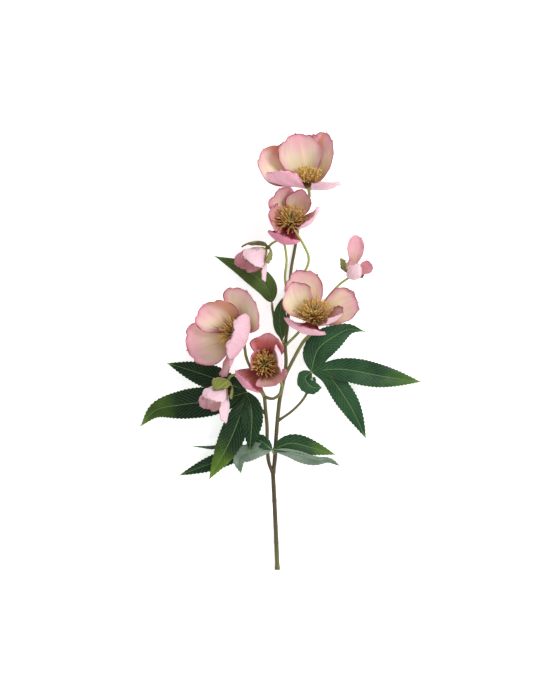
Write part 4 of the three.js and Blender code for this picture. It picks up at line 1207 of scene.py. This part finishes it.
def make_bud(index, name, bud, finish):
    place = facing(bud["base"], bud["axis"])
    sepals = Piece()
    add_neck(sepals)
    for sepal in bud["sepals"]:
        add_sepal(sepals, sepal, sepal_rows(16, 16), columns_across(31), seed=5.0 * index)
    keep(sepals.make(f"sepals_of_{name}_bud", [finish["bud"], finish["stalk"]], place), f"bud_{name}")
    bracts = Piece()
    add_collar(bracts)
    for bract in bud["bracts"]:
        rows = np.linspace(0, 1, 36)
        add_sepal(bracts, bract, rows, columns_across(23), BRACT_START, bract_outline, seed=index)
    keep(bracts.make(f"bracts_of_{name}_bud", [finish["bract"]], place), f"bracts_{name}")


FINISHES = {
    "sepal": sepal_paint("sepal_skin"),
    "bud": sepal_paint("bud_skin", bud=True),
    "leaf": leaf_paint("leaf_blade"),
    "stalk": stalk_paint("stalk_rind"),
    "bract": bract_paint("bract_green"),
    "stamen": stamen_paint("stamen_gold"),
    "nectary": nectary_paint("nectary_wine"),
    "carpel": carpel_paint("carpel_green"),
}
stamens_by_plan = stamen_plan()
nectaries_by_plan = nectary_plan()

make_stem(FINISHES["stalk"])
for leaf_name in LEAVES:
    make_leaf(leaf_name, FINISHES["leaf"], FINISHES["stalk"])
for bloom_index, (bloom_name, bloom) in enumerate(BLOOMS.items()):
    make_bloom(bloom_index, bloom_name, bloom, FINISHES)
for bud_index, (bud_name, bud) in enumerate(BUDS.items()):
    make_bud(bud_index, bud_name, bud, FINISHES)


# ---------- Floor, light and camera ----------
FLOOR_REACH = 6.0
FLOOR_HEIGHT = -0.0004
FLOOR_WHITE = (0.95, 0.95, 0.95)
FLOOR_SPECKLE = (0.93, 0.93, 0.93)
WHITE = (1.0, 1.0, 1.0, 1.0)


def make_floor():
    mesh = bpy.data.meshes.new("floor")
    corners = ((-1, -1), (1, -1), (1, 1), (-1, 1))
    points = [(x * FLOOR_REACH, y * FLOOR_REACH, FLOOR_HEIGHT) for x, y in corners]
    mesh.from_pydata(points, [], [(0, 1, 2, 3)])
    paint = Paint("floor_white", roughness=0.9, specular=0.1)
    paint.shader.inputs["Emission Color"].default_value = WHITE
    paint.shader.inputs["Emission Strength"].default_value = 0.5
    speckle = paint.rise(paint.noise(paint.place(), 3.0), 0.3, 0.7)
    white = paint.finish(paint.blend(speckle, FLOOR_SPECKLE, FLOOR_WHITE))
    floor = finish_piece("floor", mesh, [white])


def add_softbox(name, place, size, watts):
    """A square light that looks at the middle of the floor."""
    lamp = bpy.data.lights.new(name, "AREA")
    lamp.size = size
    lamp.energy = watts
    box = bpy.data.objects.new(name, lamp)
    box.location = place
    box.rotation_mode = "QUATERNION"
    box.rotation_quaternion = (-box.location).to_track_quat("-Z", "Y")
    bpy.context.scene.collection.objects.link(box)


VIEW_CENTRE = (-0.475 * MM, 0.525 * MM)
VIEW_TALL = 0.595  # how much of the plan the picture takes in, from top to bottom
LENS = 200.0
SENSOR = 36.0
BLOOM_HEIGHT = 0.022  # above the floor, where that much shows


def add_camera():
    """A camera that looks straight down from far off."""
    lens = bpy.data.cameras.new("camera")
    lens.lens = LENS
    lens.sensor_width = SENSOR
    camera = bpy.data.objects.new("camera", lens)
    camera.location = (*VIEW_CENTRE, BLOOM_HEIGHT + VIEW_TALL * LENS / SENSOR)
    bpy.context.scene.collection.objects.link(camera)
    bpy.context.scene.camera = camera


make_floor()
add_camera()
add_softbox("key_light", (1.7, 0.9, 1.8), 1.2, 46.0)
add_softbox("fill_light", (0.0, -1.9, 1.4), 1.4, 16.0)
world = bpy.data.worlds.new("studio")
world.use_nodes = True
studio_light = world.node_tree.nodes["Background"].inputs
studio_light["Color"].default_value = WHITE
studio_light["Strength"].default_value = 0.62
bpy.context.scene.world = world
bpy.context.scene.view_settings.view_transform = "Standard"
